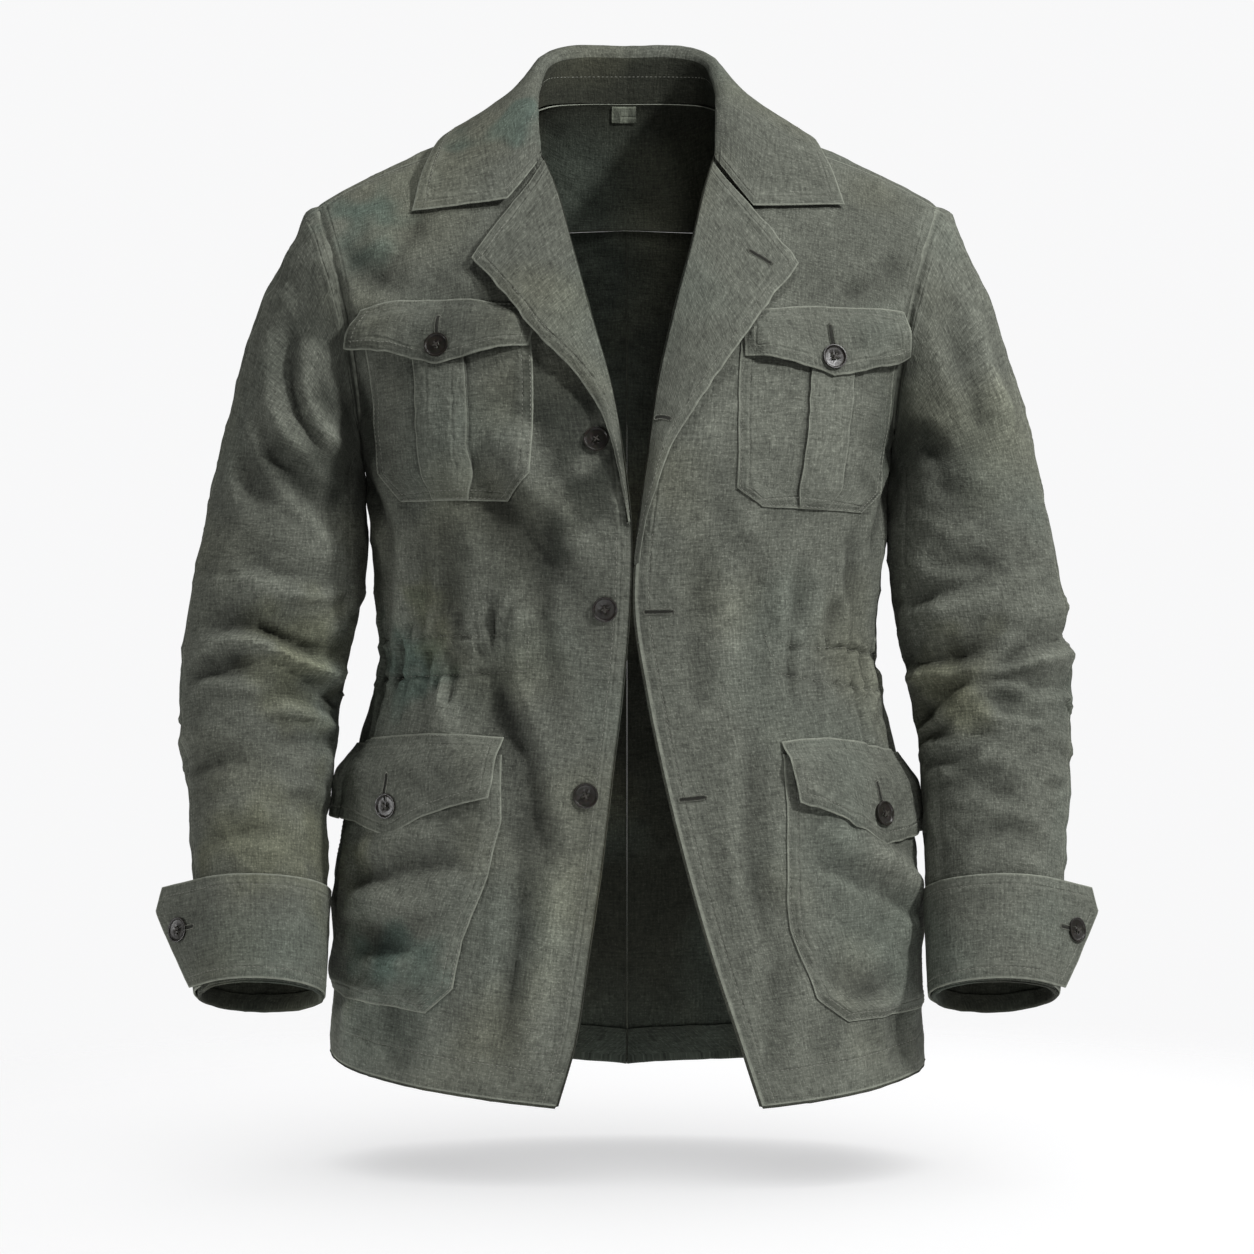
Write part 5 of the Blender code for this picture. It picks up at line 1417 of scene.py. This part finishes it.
pocket_rows = []
flap_shape = {}
for side, word in SIDES:
    start, end = PLEAT[side]
    across = spaced(CHEST_WIDTH, near=(start, end), start=True, end=True, step=0.003)
    down = spaced(0.135, end=True, step=0.0032)
    base, out, gap, rim, a, b = patch(side, lambda a, b: pocket_spot(CHEST_POCKET[side], a, b), across, down)
    steep = CHEST_WIDTH / 0.0005
    inside = np.clip((a - start) * steep + 0.5, 0, 1) * np.clip((end - a) * steep + 0.5, 0, 1)
    belly = 0.0030 * np.sin(np.pi * a) * np.sin(np.pi * b) ** 0.7
    crown = 0.0008 * np.sin(np.pi * np.clip((a - start) / (end - start), 0, 1))
    pleat = (PLEAT_RISE + crown) * inside * ease(gap["high"] / 0.006 + 0.4)
    lift = 0.0006 + LAYER + (0.0004 + belly) * ease(rim / 0.016) + pleat
    lift += crumple(base, 0.0010, 0.0005, 8.0) * ease(rim / 0.012)
    lift -= rounded(rim, LAYER * 0.3)
    fold_side = np.minimum(np.abs(a - start), np.abs(a - end)) * CHEST_WIDTH
    rim = np.minimum(rim, np.where(inside > 0.5, fold_side + 0.0003, FAR))
    # painted shade: a dark line on the pocket just outside each pleat fold, in its crevice
    groove = np.where(inside < 0.5, np.exp(-(fold_side / 0.0012) ** 2), 0.0)
    net = base + out * lift[:, :, None]
    # colour from the height: paler where pocket and pleat stand proud (partly wear, partly painted light),
    # darker in the painted shade line
    piece = cloth("chest_pocket_piece_" + word, net, out, edge=rim, worn=lift * 100 - 3.0 * groove)
    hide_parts("chest_pocket_" + word)
    facing = normals(net, out)
    pocket_rows += sewn_round(net, facing, [
        ("left", 0.0022, 0.12, 0.985), ("left", 0.0080, 0.12, 0.985), ("right", 0.0022, 0.12, 0.985),
        ("right", 0.0080, 0.12, 0.985), ("high", 0.0022, 0.02, 0.985), ("high", 0.0080, 0.02, 0.985)])

    across = spaced(0.125, start=True, end=True, step=0.003)
    down = spaced(0.045, end=True, step=0.003)
    base, out, gap, rim, a, b = patch(side, lambda a, b: flap_spot(CHEST_FLAP[side], a, b), across, down)
    full = LAYER + PLEAT_RISE * 0.9 + 0.0046
    lift = 0.0004 + (full + 0.0007 * np.sin(a * 9 + side)) * ease(b / 0.5) * ease(0.25 + a / 0.2) + DOUBLE
    lift += 0.0010 * np.sin(np.pi * b) + crumple(base, 0.0006, 0.0003, 9.0) * ease(b / 0.2)
    rim = np.minimum(rim, gap["low"])
    lift -= rounded(rim, DOUBLE * 0.3)
    net = base + out * lift[:, :, None]
    piece = cloth("chest_flap_piece_" + word, net, out, wall=DOUBLE, edge=rim)
    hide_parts("chest_flap_" + word)
    facing = normals(net, out)
    flap_shape["chest", side] = (net, facing, across, down)
    pocket_rows += sewn_round(net, facing, [
        ("low", 0.0016, 0.02, 0.98), ("low", 0.0075, 0.06, 0.94), ("high", 0.0075, 0.05, 0.95),
        ("left", 0.0075, 0.02, 0.85), ("right", 0.0075, 0.02, 0.85)])


# ---- the lower pockets ----------------------------------------------------------------
# Each lower pocket is a roomy bellows patch that bags forward and runs round to
# the side seam, under a deep pointed flap with a button.  Use has pulled it into
# a few slanting creases.
LOWER_POCKET = {
    RIGHT: [
        (0.00, 0.2747, 0.3345, 0.9750, 0.3080),
        (0.22, 0.2485, 0.2758, 0.9750, 0.2480),
        (0.44, 0.2643, 0.2234, 0.9750, 0.2000),
        (0.66, 0.3127, 0.1591, 0.9750, 0.1450),
        (0.86, 0.3248, 0.1110, 0.9750, 0.0950),
        (1.00, 0.3952, 0.0812, 0.9700, 0.0640),
    ],
    LEFT: [
        (0.00, 0.3209, 0.3340, 0.9750, 0.3020),
        (0.20, 0.3020, 0.2886, 0.9750, 0.2560),
        (0.52, 0.2481, 0.2035, 0.9750, 0.1800),
        (0.66, 0.2378, 0.1759, 0.9750, 0.1480),
        (0.86, 0.2732, 0.1067, 0.9750, 0.0950),
        (1.00, 0.3748, 0.0766, 0.9700, 0.0560),
    ],
}
LOWER_FLAP = {
    RIGHT: [
        (0.00, 0.2806, 0.3510, 0.2834, 0.2925),
        (0.18, 0.3705, 0.3494, 0.3685, 0.2821),
        (0.36, 0.4900, 0.3460, 0.4587, 0.2673),
        (0.52, 0.5991, 0.3399, 0.5653, 0.2432),
        (0.72, 0.7300, 0.3310, 0.7350, 0.2483),
        (1.00, 0.9500, 0.3150, 0.9600, 0.2380),
    ],
    LEFT: [
        (0.00, 0.3270, 0.3459, 0.3264, 0.2885),
        (0.18, 0.3910, 0.3464, 0.3834, 0.2824),
        (0.36, 0.4800, 0.3446, 0.4793, 0.2650),
        (0.56, 0.6000, 0.3370, 0.6117, 0.2353),
        (0.74, 0.7300, 0.3240, 0.7500, 0.2350),
        (1.00, 0.9450, 0.3110, 0.9560, 0.2320),
    ],
}
POCKET_FOLDS = {  # spots in shares of the front, as the pocket lies on it
    RIGHT: [
        (-0.0032, 0.008, 0.3, [(0.76, 0.190), (0.642, 0.198), (0.466, 0.221), (0.30, 0.233)]),
        (0.0026, 0.009, 0.0, [(0.80, 0.155), (0.640, 0.172), (0.487, 0.185), (0.334, 0.197)]),
        (-0.0044, 0.009, 0.4, [(0.70, 0.126), (0.633, 0.133), (0.545, 0.136), (0.42, 0.146)]),
        (-0.0024, 0.008, -0.2, [(0.88, 0.23), (0.84, 0.16), (0.88, 0.10)]),
    ],
    LEFT: [
        (-0.0034, 0.008, 0.4, [(0.30, 0.245), (0.337, 0.237), (0.474, 0.210), (0.70, 0.166), (0.80, 0.155)]),
        (0.0028, 0.009, 0.0, [(0.50, 0.238), (0.600, 0.222), (0.72, 0.195), (0.90, 0.165)]),
        (-0.0032, 0.009, 0.3, [(0.26, 0.150), (0.330, 0.128), (0.420, 0.106), (0.664, 0.095)]),
        (-0.0022, 0.008, -0.2, [(0.86, 0.22), (0.84, 0.16), (0.90, 0.10)]),
    ],
}
for side, word in SIDES:
    across = spaced(0.180, start=True, end=True, step=0.0034)
    down = spaced(0.190, end=True, step=0.0034)
    base, out, gap, rim, a, b = patch(side, lambda a, b: pocket_spot(LOWER_POCKET[side], a, b), across, down)
    puff = 0.0062 * np.sin(np.pi * a) ** 0.8 * np.sin(np.pi * (0.06 + 0.94 * b)) ** 0.8
    lift = 0.0006 + LAYER + (0.0012 + puff) * ease(rim / 0.012)
    folds = CREASED["pocket"] * fold_lift(base, out, POCKET_FOLDS[side], lambda u, v: front(side, u, v))
    folds = folds + crumple(base, 0.0024, 0.0009, 11.0)
    lift += np.maximum(folds, -0.5 * (lift - LAYER)) * ease(rim / 0.010)
    lift -= rounded(rim, LAYER * 0.3)
    net = base + out * lift[:, :, None]
    piece = cloth("lower_pocket_piece_" + word, net, out, edge=rim, worn=folds * WEAR_AND_SHADE)
    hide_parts("lower_pocket_" + word)
    facing = normals(net, out)
    pocket_rows += sewn_round(net, facing, [
        ("left", 0.0022, 0.12, 0.985), ("left", 0.0085, 0.15, 0.95), ("right", 0.0022, 0.12, 0.985),
        ("right", 0.0085, 0.15, 0.95), ("high", 0.0022, 0.02, 0.985), ("high", 0.0085, 0.05, 0.95)])

    across = spaced(0.165, start=True, end=True, step=0.003)
    down = spaced(0.070, end=True, step=0.003)
    base, out, gap, rim, a, b = patch(side, lambda a, b: flap_spot(LOWER_FLAP[side], a, b), across, down)
    lift = 0.0004 + DOUBLE + 0.0074 * ease(b / 0.45) + 0.0042 * np.clip((a - 0.5) / 0.5, 0, 1) * b
    lift += 0.0012 * np.sin(np.pi * b) + crumple(base, 0.0008, 0.0004, 13.0) * ease(b / 0.2)
    rim = np.minimum(rim, gap["low"])
    lift -= rounded(rim, DOUBLE * 0.3)
    net = base + out * lift[:, :, None]
    piece = cloth("lower_flap_piece_" + word, net, out, wall=DOUBLE, edge=rim)
    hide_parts("lower_flap_" + word)
    facing = normals(net, out)
    flap_shape["lower", side] = (net, facing, across, down)
    pocket_rows += sewn_round(net, facing, [
        ("low", 0.0016, 0.02, 0.98), ("low", 0.0085, 0.05, 0.95), ("high", 0.0085, 0.05, 0.95),
        ("left", 0.0085, 0.02, 0.88)])
sew("pocket_stitching", pocket_rows)


# ---- the cuffs ----------------------------------------------------------------------
# A turned-back cuff of two layers is wrapped round the end of each sleeve.  Its
# slanted end overlaps the rest, stands a little away and buttons near the point.
CUFF_T = 0.835
CUFF_START = 0.55
CUFF_LEAVE = 0.80
CUFF_PROUD = 0.0045
TAB_START = 0.86
TAB_SHARE = 0.14
TAB = [(0.00, 0.044), (0.20, 0.052), (1.00, 0.021)]


def cuff(side, q, t):
    """q along the band from its under end, t down the band."""
    x, y, z, width, depth, lean = curve(SLEEVE, lerp(CUFF_T, 1.0, t))
    proud = lerp(CUFF_PROUD, 0.0030, t)
    turn = CUFF_LEAVE - 2 * math.pi
    phi = lerp(CUFF_START, turn, min(q / TAB_START, 1.0))
    lap = max(0.0, (phi - turn - 1.4) / -1.4)
    grow = proud + 0.0016 * lap * lap * (3 - 2 * lap)
    px = (width + grow) * math.cos(phi)
    py = (depth + grow) * math.sin(phi)
    if q > TAB_START:
        run = (q - TAB_START) / TAB_SHARE * straight(TAB, t)[0]
        go = Vector(((width + grow) * math.sin(phi), -(depth + grow) * math.cos(phi), 0.0)).normalized()
        px += go.x * run
        py += go.y * run
    return Vector((side * (x + px), y - py * math.cos(lean), z + py * math.sin(lean)))


def cuff_facing(side, q):
    phi = lerp(CUFF_START, CUFF_LEAVE - 2 * math.pi, min(q / TAB_START, 1.0))
    return np.array((side * math.cos(phi), -math.sin(phi), 0.0))


cuff_rows = []
cuff_shape = {}
for side, word in SIDES:
    across = spaced(0.330, start=True, end=True, step=0.0034)
    down = spaced(0.105, start=True, end=True, step=0.0034)
    flat = grid(lambda q, t: cuff(side, q, t), across, down)
    look = np.array([[cuff_facing(side, q) for q in across] for t in down])
    out = normals(flat, look)
    gap = margins(flat)
    rim = edge_gap(gap, "left", "right", "low", "high")
    lift = 0.0008 * np.sin(np.pi * np.array(down))[:, None] + crumple(flat, 0.0012, 0.0004, 15.0) * 0.7
    lift -= rounded(edge_gap(gap, "right", "low", "high"), DOUBLE * 0.5)
    net = flat + out * lift[:, :, None]
    piece = cloth("cuff_piece_" + word, net, out, wall=DOUBLE, edge=rim, under=outer_linen)
    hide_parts("cuff_" + word)
    facing = normals(net, out)
    cuff_shape[side] = (net, facing, across, down)
    cuff_rows += sewn_round(net, facing, [
        ("low", 0.0085, 0.02, 0.97), ("high", 0.0085, 0.02, 0.95), ("right", 0.0080, 0.08, 0.92)])
sew("cuff_stitching", cuff_rows)


# ---- the neck label ------------------------------------------------------------------
# A small plain woven tab is stitched inside the yoke below the collar.  It is
# left bare.
label_cloth = linen("woven tab", (0.115, 0.125, 0.098, 1), slub=0.3)
us = spaced(0.0190, start=True, end=True, step=0.0012)
vs = spaced(0.0125, start=True, end=True, step=0.0012)
rows = []
for b in vs:
    row = []
    for a in us:
        s, t = lerp(-0.040, 0.024, a), lerp(0.02, 0.15, b)
        p = np.array(yoke(s, t))
        n = unit(np.cross(np.array(yoke(s + 0.02, t)) - p, np.array(yoke(s, t + 0.02)) - p))
        n = n if n @ (0, 1, 0.4) > 0 else -n
        row.append(p - n * (0.0022 + 0.0002 * math.sin(a * 7)))
    rows.append(row)
label_net = np.array(rows)
piece = cloth("neck_label_tab", label_net, np.array([0.0, -1.0, -0.2]), wall=0.0006,
              edge=edge_gap(margins(label_net), "left", "low"), top=label_cloth, under=label_cloth)
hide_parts("neck_label")


# ---- the buttons -----------------------------------------------------------------------
# Nine dark horn-like buttons, 18 mm across, are turned with a raised rim and a
# sunk middle with four holes, and sewn on with crossed thread: three on the right
# front, one on every pocket flap and one on each cuff.
BUTTON_R = 0.0090
BUTTON_T = 0.0036
HOLE_R = 0.00105
HOLE_OUT = 0.0022
STRAND_R = 0.00028
horn = bpy.data.materials.new("dark horn")
horn.use_nodes = True
shader = horn.node_tree.nodes["Principled BSDF"]
place = node(horn.node_tree, "ShaderNodeTexCoord").outputs["Object"]
drift = node(horn.node_tree, "ShaderNodeTexNoise", in_Vector=place, in_Scale=140.0, in_Detail=4.0,
             in_Roughness=0.6)
veins = node(horn.node_tree, "ShaderNodeTexNoise", in_Vector=place, in_Scale=420.0, in_Detail=2.0)
mix = blend_colours(horn.node_tree, "MIX", drift.outputs["Fac"], (0.010, 0.009, 0.007, 1),
                    (0.030, 0.025, 0.020, 1))
mix = blend_colours(horn.node_tree, "MULTIPLY", 0.5, mix, veins.outputs["Color"])
horn.node_tree.links.new(mix, shader.inputs["Base Color"])
shader.inputs["Specular IOR Level"].default_value = 0.4
rough = node(horn.node_tree, "ShaderNodeMapRange", in_Value=veins.outputs["Fac"], in_To_Min=0.28,
             in_To_Max=0.42)
horn.node_tree.links.new(rough.outputs[0], shader.inputs["Roughness"])
scratch = node(horn.node_tree, "ShaderNodeBump", in_Height=veins.outputs["Fac"], in_Distance=0.0001)
horn.node_tree.links.new(scratch.outputs[0], shader.inputs["Normal"])

dark_thread = drifting("dark button thread", 900.0, (0.030, 0.027, 0.022, 1), (0.060, 0.054, 0.045, 1))

bpy.ops.object.select_all(action="DESELECT")
bpy.ops.mesh.primitive_cylinder_add(vertices=40, radius=BUTTON_R * 0.82, depth=BUTTON_T,
                                    location=(0, 0, BUTTON_T / 2))
pattern = bpy.context.object
pattern.name = "button_pattern"
bpy.ops.object.mode_set(mode="EDIT")
bpy.ops.mesh.select_mode(type="FACE")


def pick(test):
    net = bmesh.from_edit_mesh(bpy.context.object.data)
    for face in net.faces:
        face.select = test(face)
    net.select_flush_mode()
    bmesh.update_edit_mesh(bpy.context.object.data)


pick(lambda f: abs(f.normal.z) < 0.5)
bpy.ops.mesh.subdivide(number_cuts=3, quadcorner="INNERVERT")
net = bmesh.from_edit_mesh(pattern.data)
for v in net.verts:
    reach = math.hypot(v.co.x, v.co.y)
    if reach > BUTTON_R * 0.5:
        share = v.co.z / BUTTON_T
        swell = 0.80 + 0.20 * math.sin(math.pi * min(1.0, 0.16 + 0.80 * max(0.0, share))) ** 0.6
        v.co.x *= BUTTON_R * swell / reach
        v.co.y *= BUTTON_R * swell / reach
bmesh.update_edit_mesh(pattern.data)
pick(lambda f: f.normal.z > 0.9 and len(f.verts) > 4)
bpy.ops.mesh.inset(thickness=BUTTON_R * 0.11, depth=0.0)
bpy.ops.mesh.inset(thickness=BUTTON_R * 0.07, depth=-0.0010)
bpy.ops.mesh.inset(thickness=BUTTON_R * 0.12, depth=-0.0001)
bpy.ops.object.mode_set(mode="OBJECT")
for k in range(4):
    angle = math.pi / 4 + k * math.pi / 2
    middle = (HOLE_OUT * math.cos(angle), HOLE_OUT * math.sin(angle), 0.0)
    bpy.ops.object.select_all(action="DESELECT")
    bpy.ops.mesh.primitive_cylinder_add(vertices=14, radius=HOLE_R, depth=0.02, location=middle)
    drill = bpy.context.object
    only(pattern)
    cut = pattern.modifiers.new("hole", "BOOLEAN")
    cut.operation = "DIFFERENCE"
    cut.solver = "EXACT"
    cut.object = drill
    bpy.ops.object.modifier_apply(modifier="hole")
    bpy.data.objects.remove(drill, do_unlink=True)
soften = pattern.modifiers.new("soft edges", "BEVEL")
soften.width = 0.00022
soften.segments = 2
soften.limit_method = "ANGLE"
soften.angle_limit = math.radians(30)
bpy.ops.object.modifier_apply(modifier="soft edges")
bpy.ops.object.shade_smooth_by_angle(angle=math.radians(40))

bpy.ops.object.select_all(action="DESELECT")
for turn in (math.pi / 4, -math.pi / 4):
    for k in (-0.00025, 0.00025):
        beside = (k * math.sin(turn), -k * math.cos(turn), BUTTON_T * 0.74)
        bpy.ops.mesh.primitive_cylinder_add(vertices=8, radius=STRAND_R, depth=0.0050, location=beside,
                                            rotation=(0, math.pi / 2, turn))
        strand = bpy.context.object
        bpy.ops.object.mode_set(mode="EDIT")
        bpy.ops.mesh.select_all(action="SELECT")
        bpy.ops.mesh.bevel(offset=0.00012, segments=1)
        bpy.ops.object.mode_set(mode="OBJECT")
        bpy.ops.object.transform_apply(location=True, rotation=True, scale=True)
        strand.name = "strand"
strands = [o for o in bpy.data.objects if o.name.startswith("strand")]
for strand in strands:
    strand.select_set(True)
bpy.context.view_layer.objects.active = strands[0]
bpy.ops.object.join()
cross = bpy.context.object
cross.data.materials.clear()


def put_button(name, node_name, place, up, twist):
    """One button with its thread at a place, its face turned to up."""
    up = Vector([float(c) for c in up]).normalized()
    place = Vector([float(c) for c in place])
    turn = Vector((0, 0, 1)).rotation_difference(up).to_matrix().to_4x4()
    for source, word, paint in ((pattern, name, horn), (cross, name + "_thread", dark_thread)):
        mesh = source.data.copy()
        mesh.transform(Matrix.Rotation(twist, 4, "Z"))
        mesh.transform(turn)
        mesh.transform(Matrix.Translation(place))
        mesh.materials.clear()
        mesh.materials.append(paint)
        thing = placed(word, mesh)
        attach(thing, "root")
    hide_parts(node_name)


def station(shape, place):
    """Row and column of a shaped piece's grid that lie nearest a place."""
    return np.unravel_index(np.argmin(np.linalg.norm(shape[0] - np.array(place), axis=2)), shape[0].shape[:2])


def nearest(shape, node_name):
    """Spot of a shaped piece that lies nearest the middle of a CAD button."""
    low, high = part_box(node_name)
    spot = station(shape, (low + high) / 2)
    return shape[0][spot], shape[1][spot]


for word, twist in (("top", 0.2), ("middle", 0.9), ("low", -0.4)):
    place, up = nearest(front_shape[RIGHT], "front_button_" + word)
    put_button("button_front_" + word, "front_button_" + word, place + up * 0.0004, up, twist)
for side, word in SIDES:
    for part, label in (("chest", "chest_button_"), ("lower", "hip_button_")):
        place, up = nearest(flap_shape[part, side], label + word)
        put_button("button_" + part + "_" + word, label + word, place + up * 0.0003, up, 0.5 * side)
    place, up = nearest(cuff_shape[side], "cuff_button_" + word)
    put_button("button_cuff_" + word, "cuff_button_" + word, place + up * 0.0003, up, 0.3)
bpy.data.objects.remove(pattern, do_unlink=True)
bpy.data.objects.remove(cross, do_unlink=True)


# ---- the buttonholes ---------------------------------------------------------------------
# Worked buttonholes: a slit with close purl stitches round it.  They lie in the
# left front edge and lapel, in the flaps above the buttons, and in the cuffs.
PURL_STEP = 0.0007
PURL_START = 0.0008
PURL_END = 0.0021
SLIT_HALF = 0.00075
SLIT_LIFT = 0.00030
dark_slit = drifting("shadowed slit", 700.0, (0.008, 0.008, 0.006, 1), (0.020, 0.020, 0.015, 1), 0.95)


def hole(start, end, up, ends=(True, True)):
    """Rows of stitches that make one buttonhole between two places."""
    go = end - start
    side = unit(np.cross(up, go))
    rows = []
    for hand in (-1, 1):
        count = int(np.linalg.norm(go) / PURL_STEP)
        for k in range(count):
            middle = start + go * k / count
            a = middle + side * hand * PURL_START
            b = middle + side * hand * PURL_END
            rows.append((np.array([a, b]), np.array([up, up])))
    for tip, hand, shown in ((start, -1, ends[0]), (end, 1, ends[1])):
        if not shown:
            continue
        for angle in (-60, -30, 0, 30, 60):
            t = math.radians(angle)
            out = unit(go) * hand * math.cos(t) + side * math.sin(t)
            rows.append((np.array([tip + out * ON_TOP, tip + out * PURL_END]), np.array([up, up])))
    return rows


holes = []
slits = []


def add_hole(shape, a, b):
    """A buttonhole in a shaped piece between two of its spots."""
    spots = [on_shape(shape, lerp(a[0], b[0], k / 6), lerp(a[1], b[1], k / 6), 0.0005) for k in range(7)]
    for (start, up), (end, up2) in zip(spots, spots[1:]):
        holes.extend(hole(start, end, unit(up + up2), ends=(start is spots[0][0], end is spots[-1][0])))
        side = unit(np.cross(up, end - start)) * SLIT_HALF
        lift = up * SLIT_LIFT
        slits.append([start - side + lift, end - side + lift, end + side + lift, start + side + lift])


def closest(shape, place):
    """Shares of the spot of a shaped piece that lies nearest a place."""
    i, j = station(shape, place)
    return shape[2][j], shape[3][i]


for a, b in (((0.0227, 0.4743), (0.0900, 0.4735)), ((0.0239, 0.3033), (0.0900, 0.3035))):
    add_hole(front_shape[LEFT], a, b)
for pair in (((0.006, 0.6498), (0.0434, 0.6476)), ((0.1716, 0.8351), (0.2449, 0.8243))):
    a, b = (closest(lapel_shape[LEFT], on_front(LEFT, *spot, 0.004)[0]) for spot in pair)
    add_hole(lapel_shape[LEFT], a, b)
for side, word in SIDES:
    for part, label, above, below in (("chest", "chest_button_", 0.42, 0.02),
                                      ("lower", "hip_button_", 0.30, 0.01)):
        shape = flap_shape[part, side]
        a, b = closest(shape, nearest(shape, label + word)[0])
        add_hole(shape, (a, b - above), (a, b + below))
    a, b = closest(cuff_shape[side], nearest(cuff_shape[side], "cuff_button_" + word)[0])
    add_hole(cuff_shape[side], (a - 0.055, b), (a + 0.005, b))
sew("buttonhole_stitching", holes, pitch=0.00125, length=0.0012, width=0.00065, tall=0.0008)
mesh = bpy.data.meshes.new("buttonhole_slits")
mesh.from_pydata([tuple(p) for quad in slits for p in quad], [],
                 [tuple(range(k * 4, k * 4 + 4)) for k in range(len(slits))])
mesh.materials.append(dark_slit)
thing = placed("buttonhole_slits", mesh)
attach(thing, "root")


# ---- the studio ------------------------------------------------------------------
# The jacket hangs over a flat round pale floor whose rim fades away.  A small key
# light stands high in front on the wearer's left, with weak fills round it.  Two
# more lights reach only the floor, where the body alone throws its shadow.
FLOOR_Z = -0.797
bpy.ops.object.select_all(action="DESELECT")
bpy.ops.mesh.primitive_circle_add(vertices=96, radius=2.4, fill_type="NGON", location=(0.0, -0.1, FLOOR_Z))
floor = bpy.context.object
floor.name = "studio_floor"
bpy.ops.object.mode_set(mode="EDIT")
bpy.ops.mesh.select_all(action="SELECT")
bpy.ops.mesh.inset(thickness=1.0, depth=0.0)
bpy.ops.object.mode_set(mode="OBJECT")
bpy.ops.object.transform_apply(location=True, rotation=True, scale=True)
paper = drifting("studio paper", 3.0, (0.60, 0.60, 0.60, 1), (0.62, 0.62, 0.62, 1), 0.9)
sheet_paint = paper.node_tree.nodes["Principled BSDF"]
flat_place = node(paper.node_tree, "ShaderNodeVectorMath", operation="MULTIPLY", in_1=(1.0, 1.0, 0.0),
                  in_0=node(paper.node_tree, "ShaderNodeTexCoord").outputs["Object"])
reach = node(paper.node_tree, "ShaderNodeVectorMath", operation="LENGTH", in_0=flat_place.outputs[0])
fade = node(paper.node_tree, "ShaderNodeMapRange", in_Value=reach.outputs["Value"],
            interpolation_type="SMOOTHSTEP", in_From_Min=0.45, in_From_Max=0.95, in_To_Min=1.0, in_To_Max=0.0)
paper.node_tree.links.new(fade.outputs[0], sheet_paint.inputs["Alpha"])
for word, value in (("Specular IOR Level", 0.0), ("Emission Color", (1.0, 1.0, 1.01, 1)),
                    ("Emission Strength", 0.55)):
    sheet_paint.inputs[word].default_value = value
floor.data.materials.append(paper)

world = bpy.data.worlds.new("paper white")
bpy.context.scene.world = world
world.use_nodes = True
sky = world.node_tree
seen = sky.nodes["Background"]
seen.inputs["Color"].default_value = (1.0, 1.0, 1.0, 1)
seen.inputs["Strength"].default_value = 0.085
paper_white = node(sky, "ShaderNodeBackground", in_Color=(0.94, 0.94, 0.945, 1), in_Strength=1.0)
choice = node(sky, "ShaderNodeMixShader", in_0=node(sky, "ShaderNodeLightPath").outputs["Is Camera Ray"])
sky.links.new(seen.outputs[0], choice.inputs[1])
sky.links.new(paper_white.outputs[0], choice.inputs[2])
sky.links.new(choice.outputs[0], sky.nodes["World Output"].inputs["Surface"])


def soft_light(name, place, target, size, power):
    data = bpy.data.lights.new(name, "AREA")
    data.shape = "DISK"
    data.size = size
    data.energy = power
    lamp = placed(name, data)
    lamp.location = place
    lamp.visible_camera = False
    lamp.rotation_euler = (Vector(target) - Vector(place)).to_track_quat("-Z", "Y").to_euler()


soft_light("key", (2.2, -1.8, 1.5), (0.05, -0.1, -0.35), 0.35, 92.0)
soft_light("front fill", (0.1, -1.5, -1.0), (0.0, -0.1, -0.65), 0.8, 4.5)
soft_light("left side", (-2.3, -0.7, -0.6), (-0.2, -0.1, -0.60), 0.5, 15.0)
soft_light("right side", (2.3, 0.1, 0.3), (0.2, -0.1, -0.4), 0.8, 9.0)
soft_light("top", (0.4, -0.9, 1.9), (0.0, -0.1, -0.4), 0.5, 24.0)
soft_light("floor light ahead", (0.15, -0.80, 0.45), (0.0, -0.12, -0.8), 2.0, 13.0)
soft_light("floor light behind", (0.15, 0.55, 0.45), (0.0, -0.12, -0.8), 2.0, 13.0)

garment = bpy.data.collections.new("lit garment")
ground = bpy.data.collections.new("lit floor")
for thing in bpy.context.scene.objects:
    if thing.type == "MESH":
        (ground if thing == floor else garment).objects.link(thing)
body = bpy.data.collections.new("shadow on the floor")
for thing in garment.objects:
    if "sleeve" not in thing.name and "cuff" not in thing.name:
        body.objects.link(thing)
for lamp in [o for o in bpy.context.scene.objects if o.type == "LIGHT"]:
    over_floor = lamp.name.startswith("floor light")
    lamp.light_linking.receiver_collection = ground if over_floor else garment
    if over_floor:
        lamp.light_linking.blocker_collection = body

camera = placed("camera", bpy.data.cameras.new("camera"))
camera.data.lens = 100.9
camera.data.sensor_width = 36.0
camera.location = (0.0, -2.705, -0.4026)
camera.rotation_euler = (math.pi / 2, 0.0, 0.0)
bpy.context.scene.camera = camera
bpy.context.scene.view_settings.view_transform = "Standard"
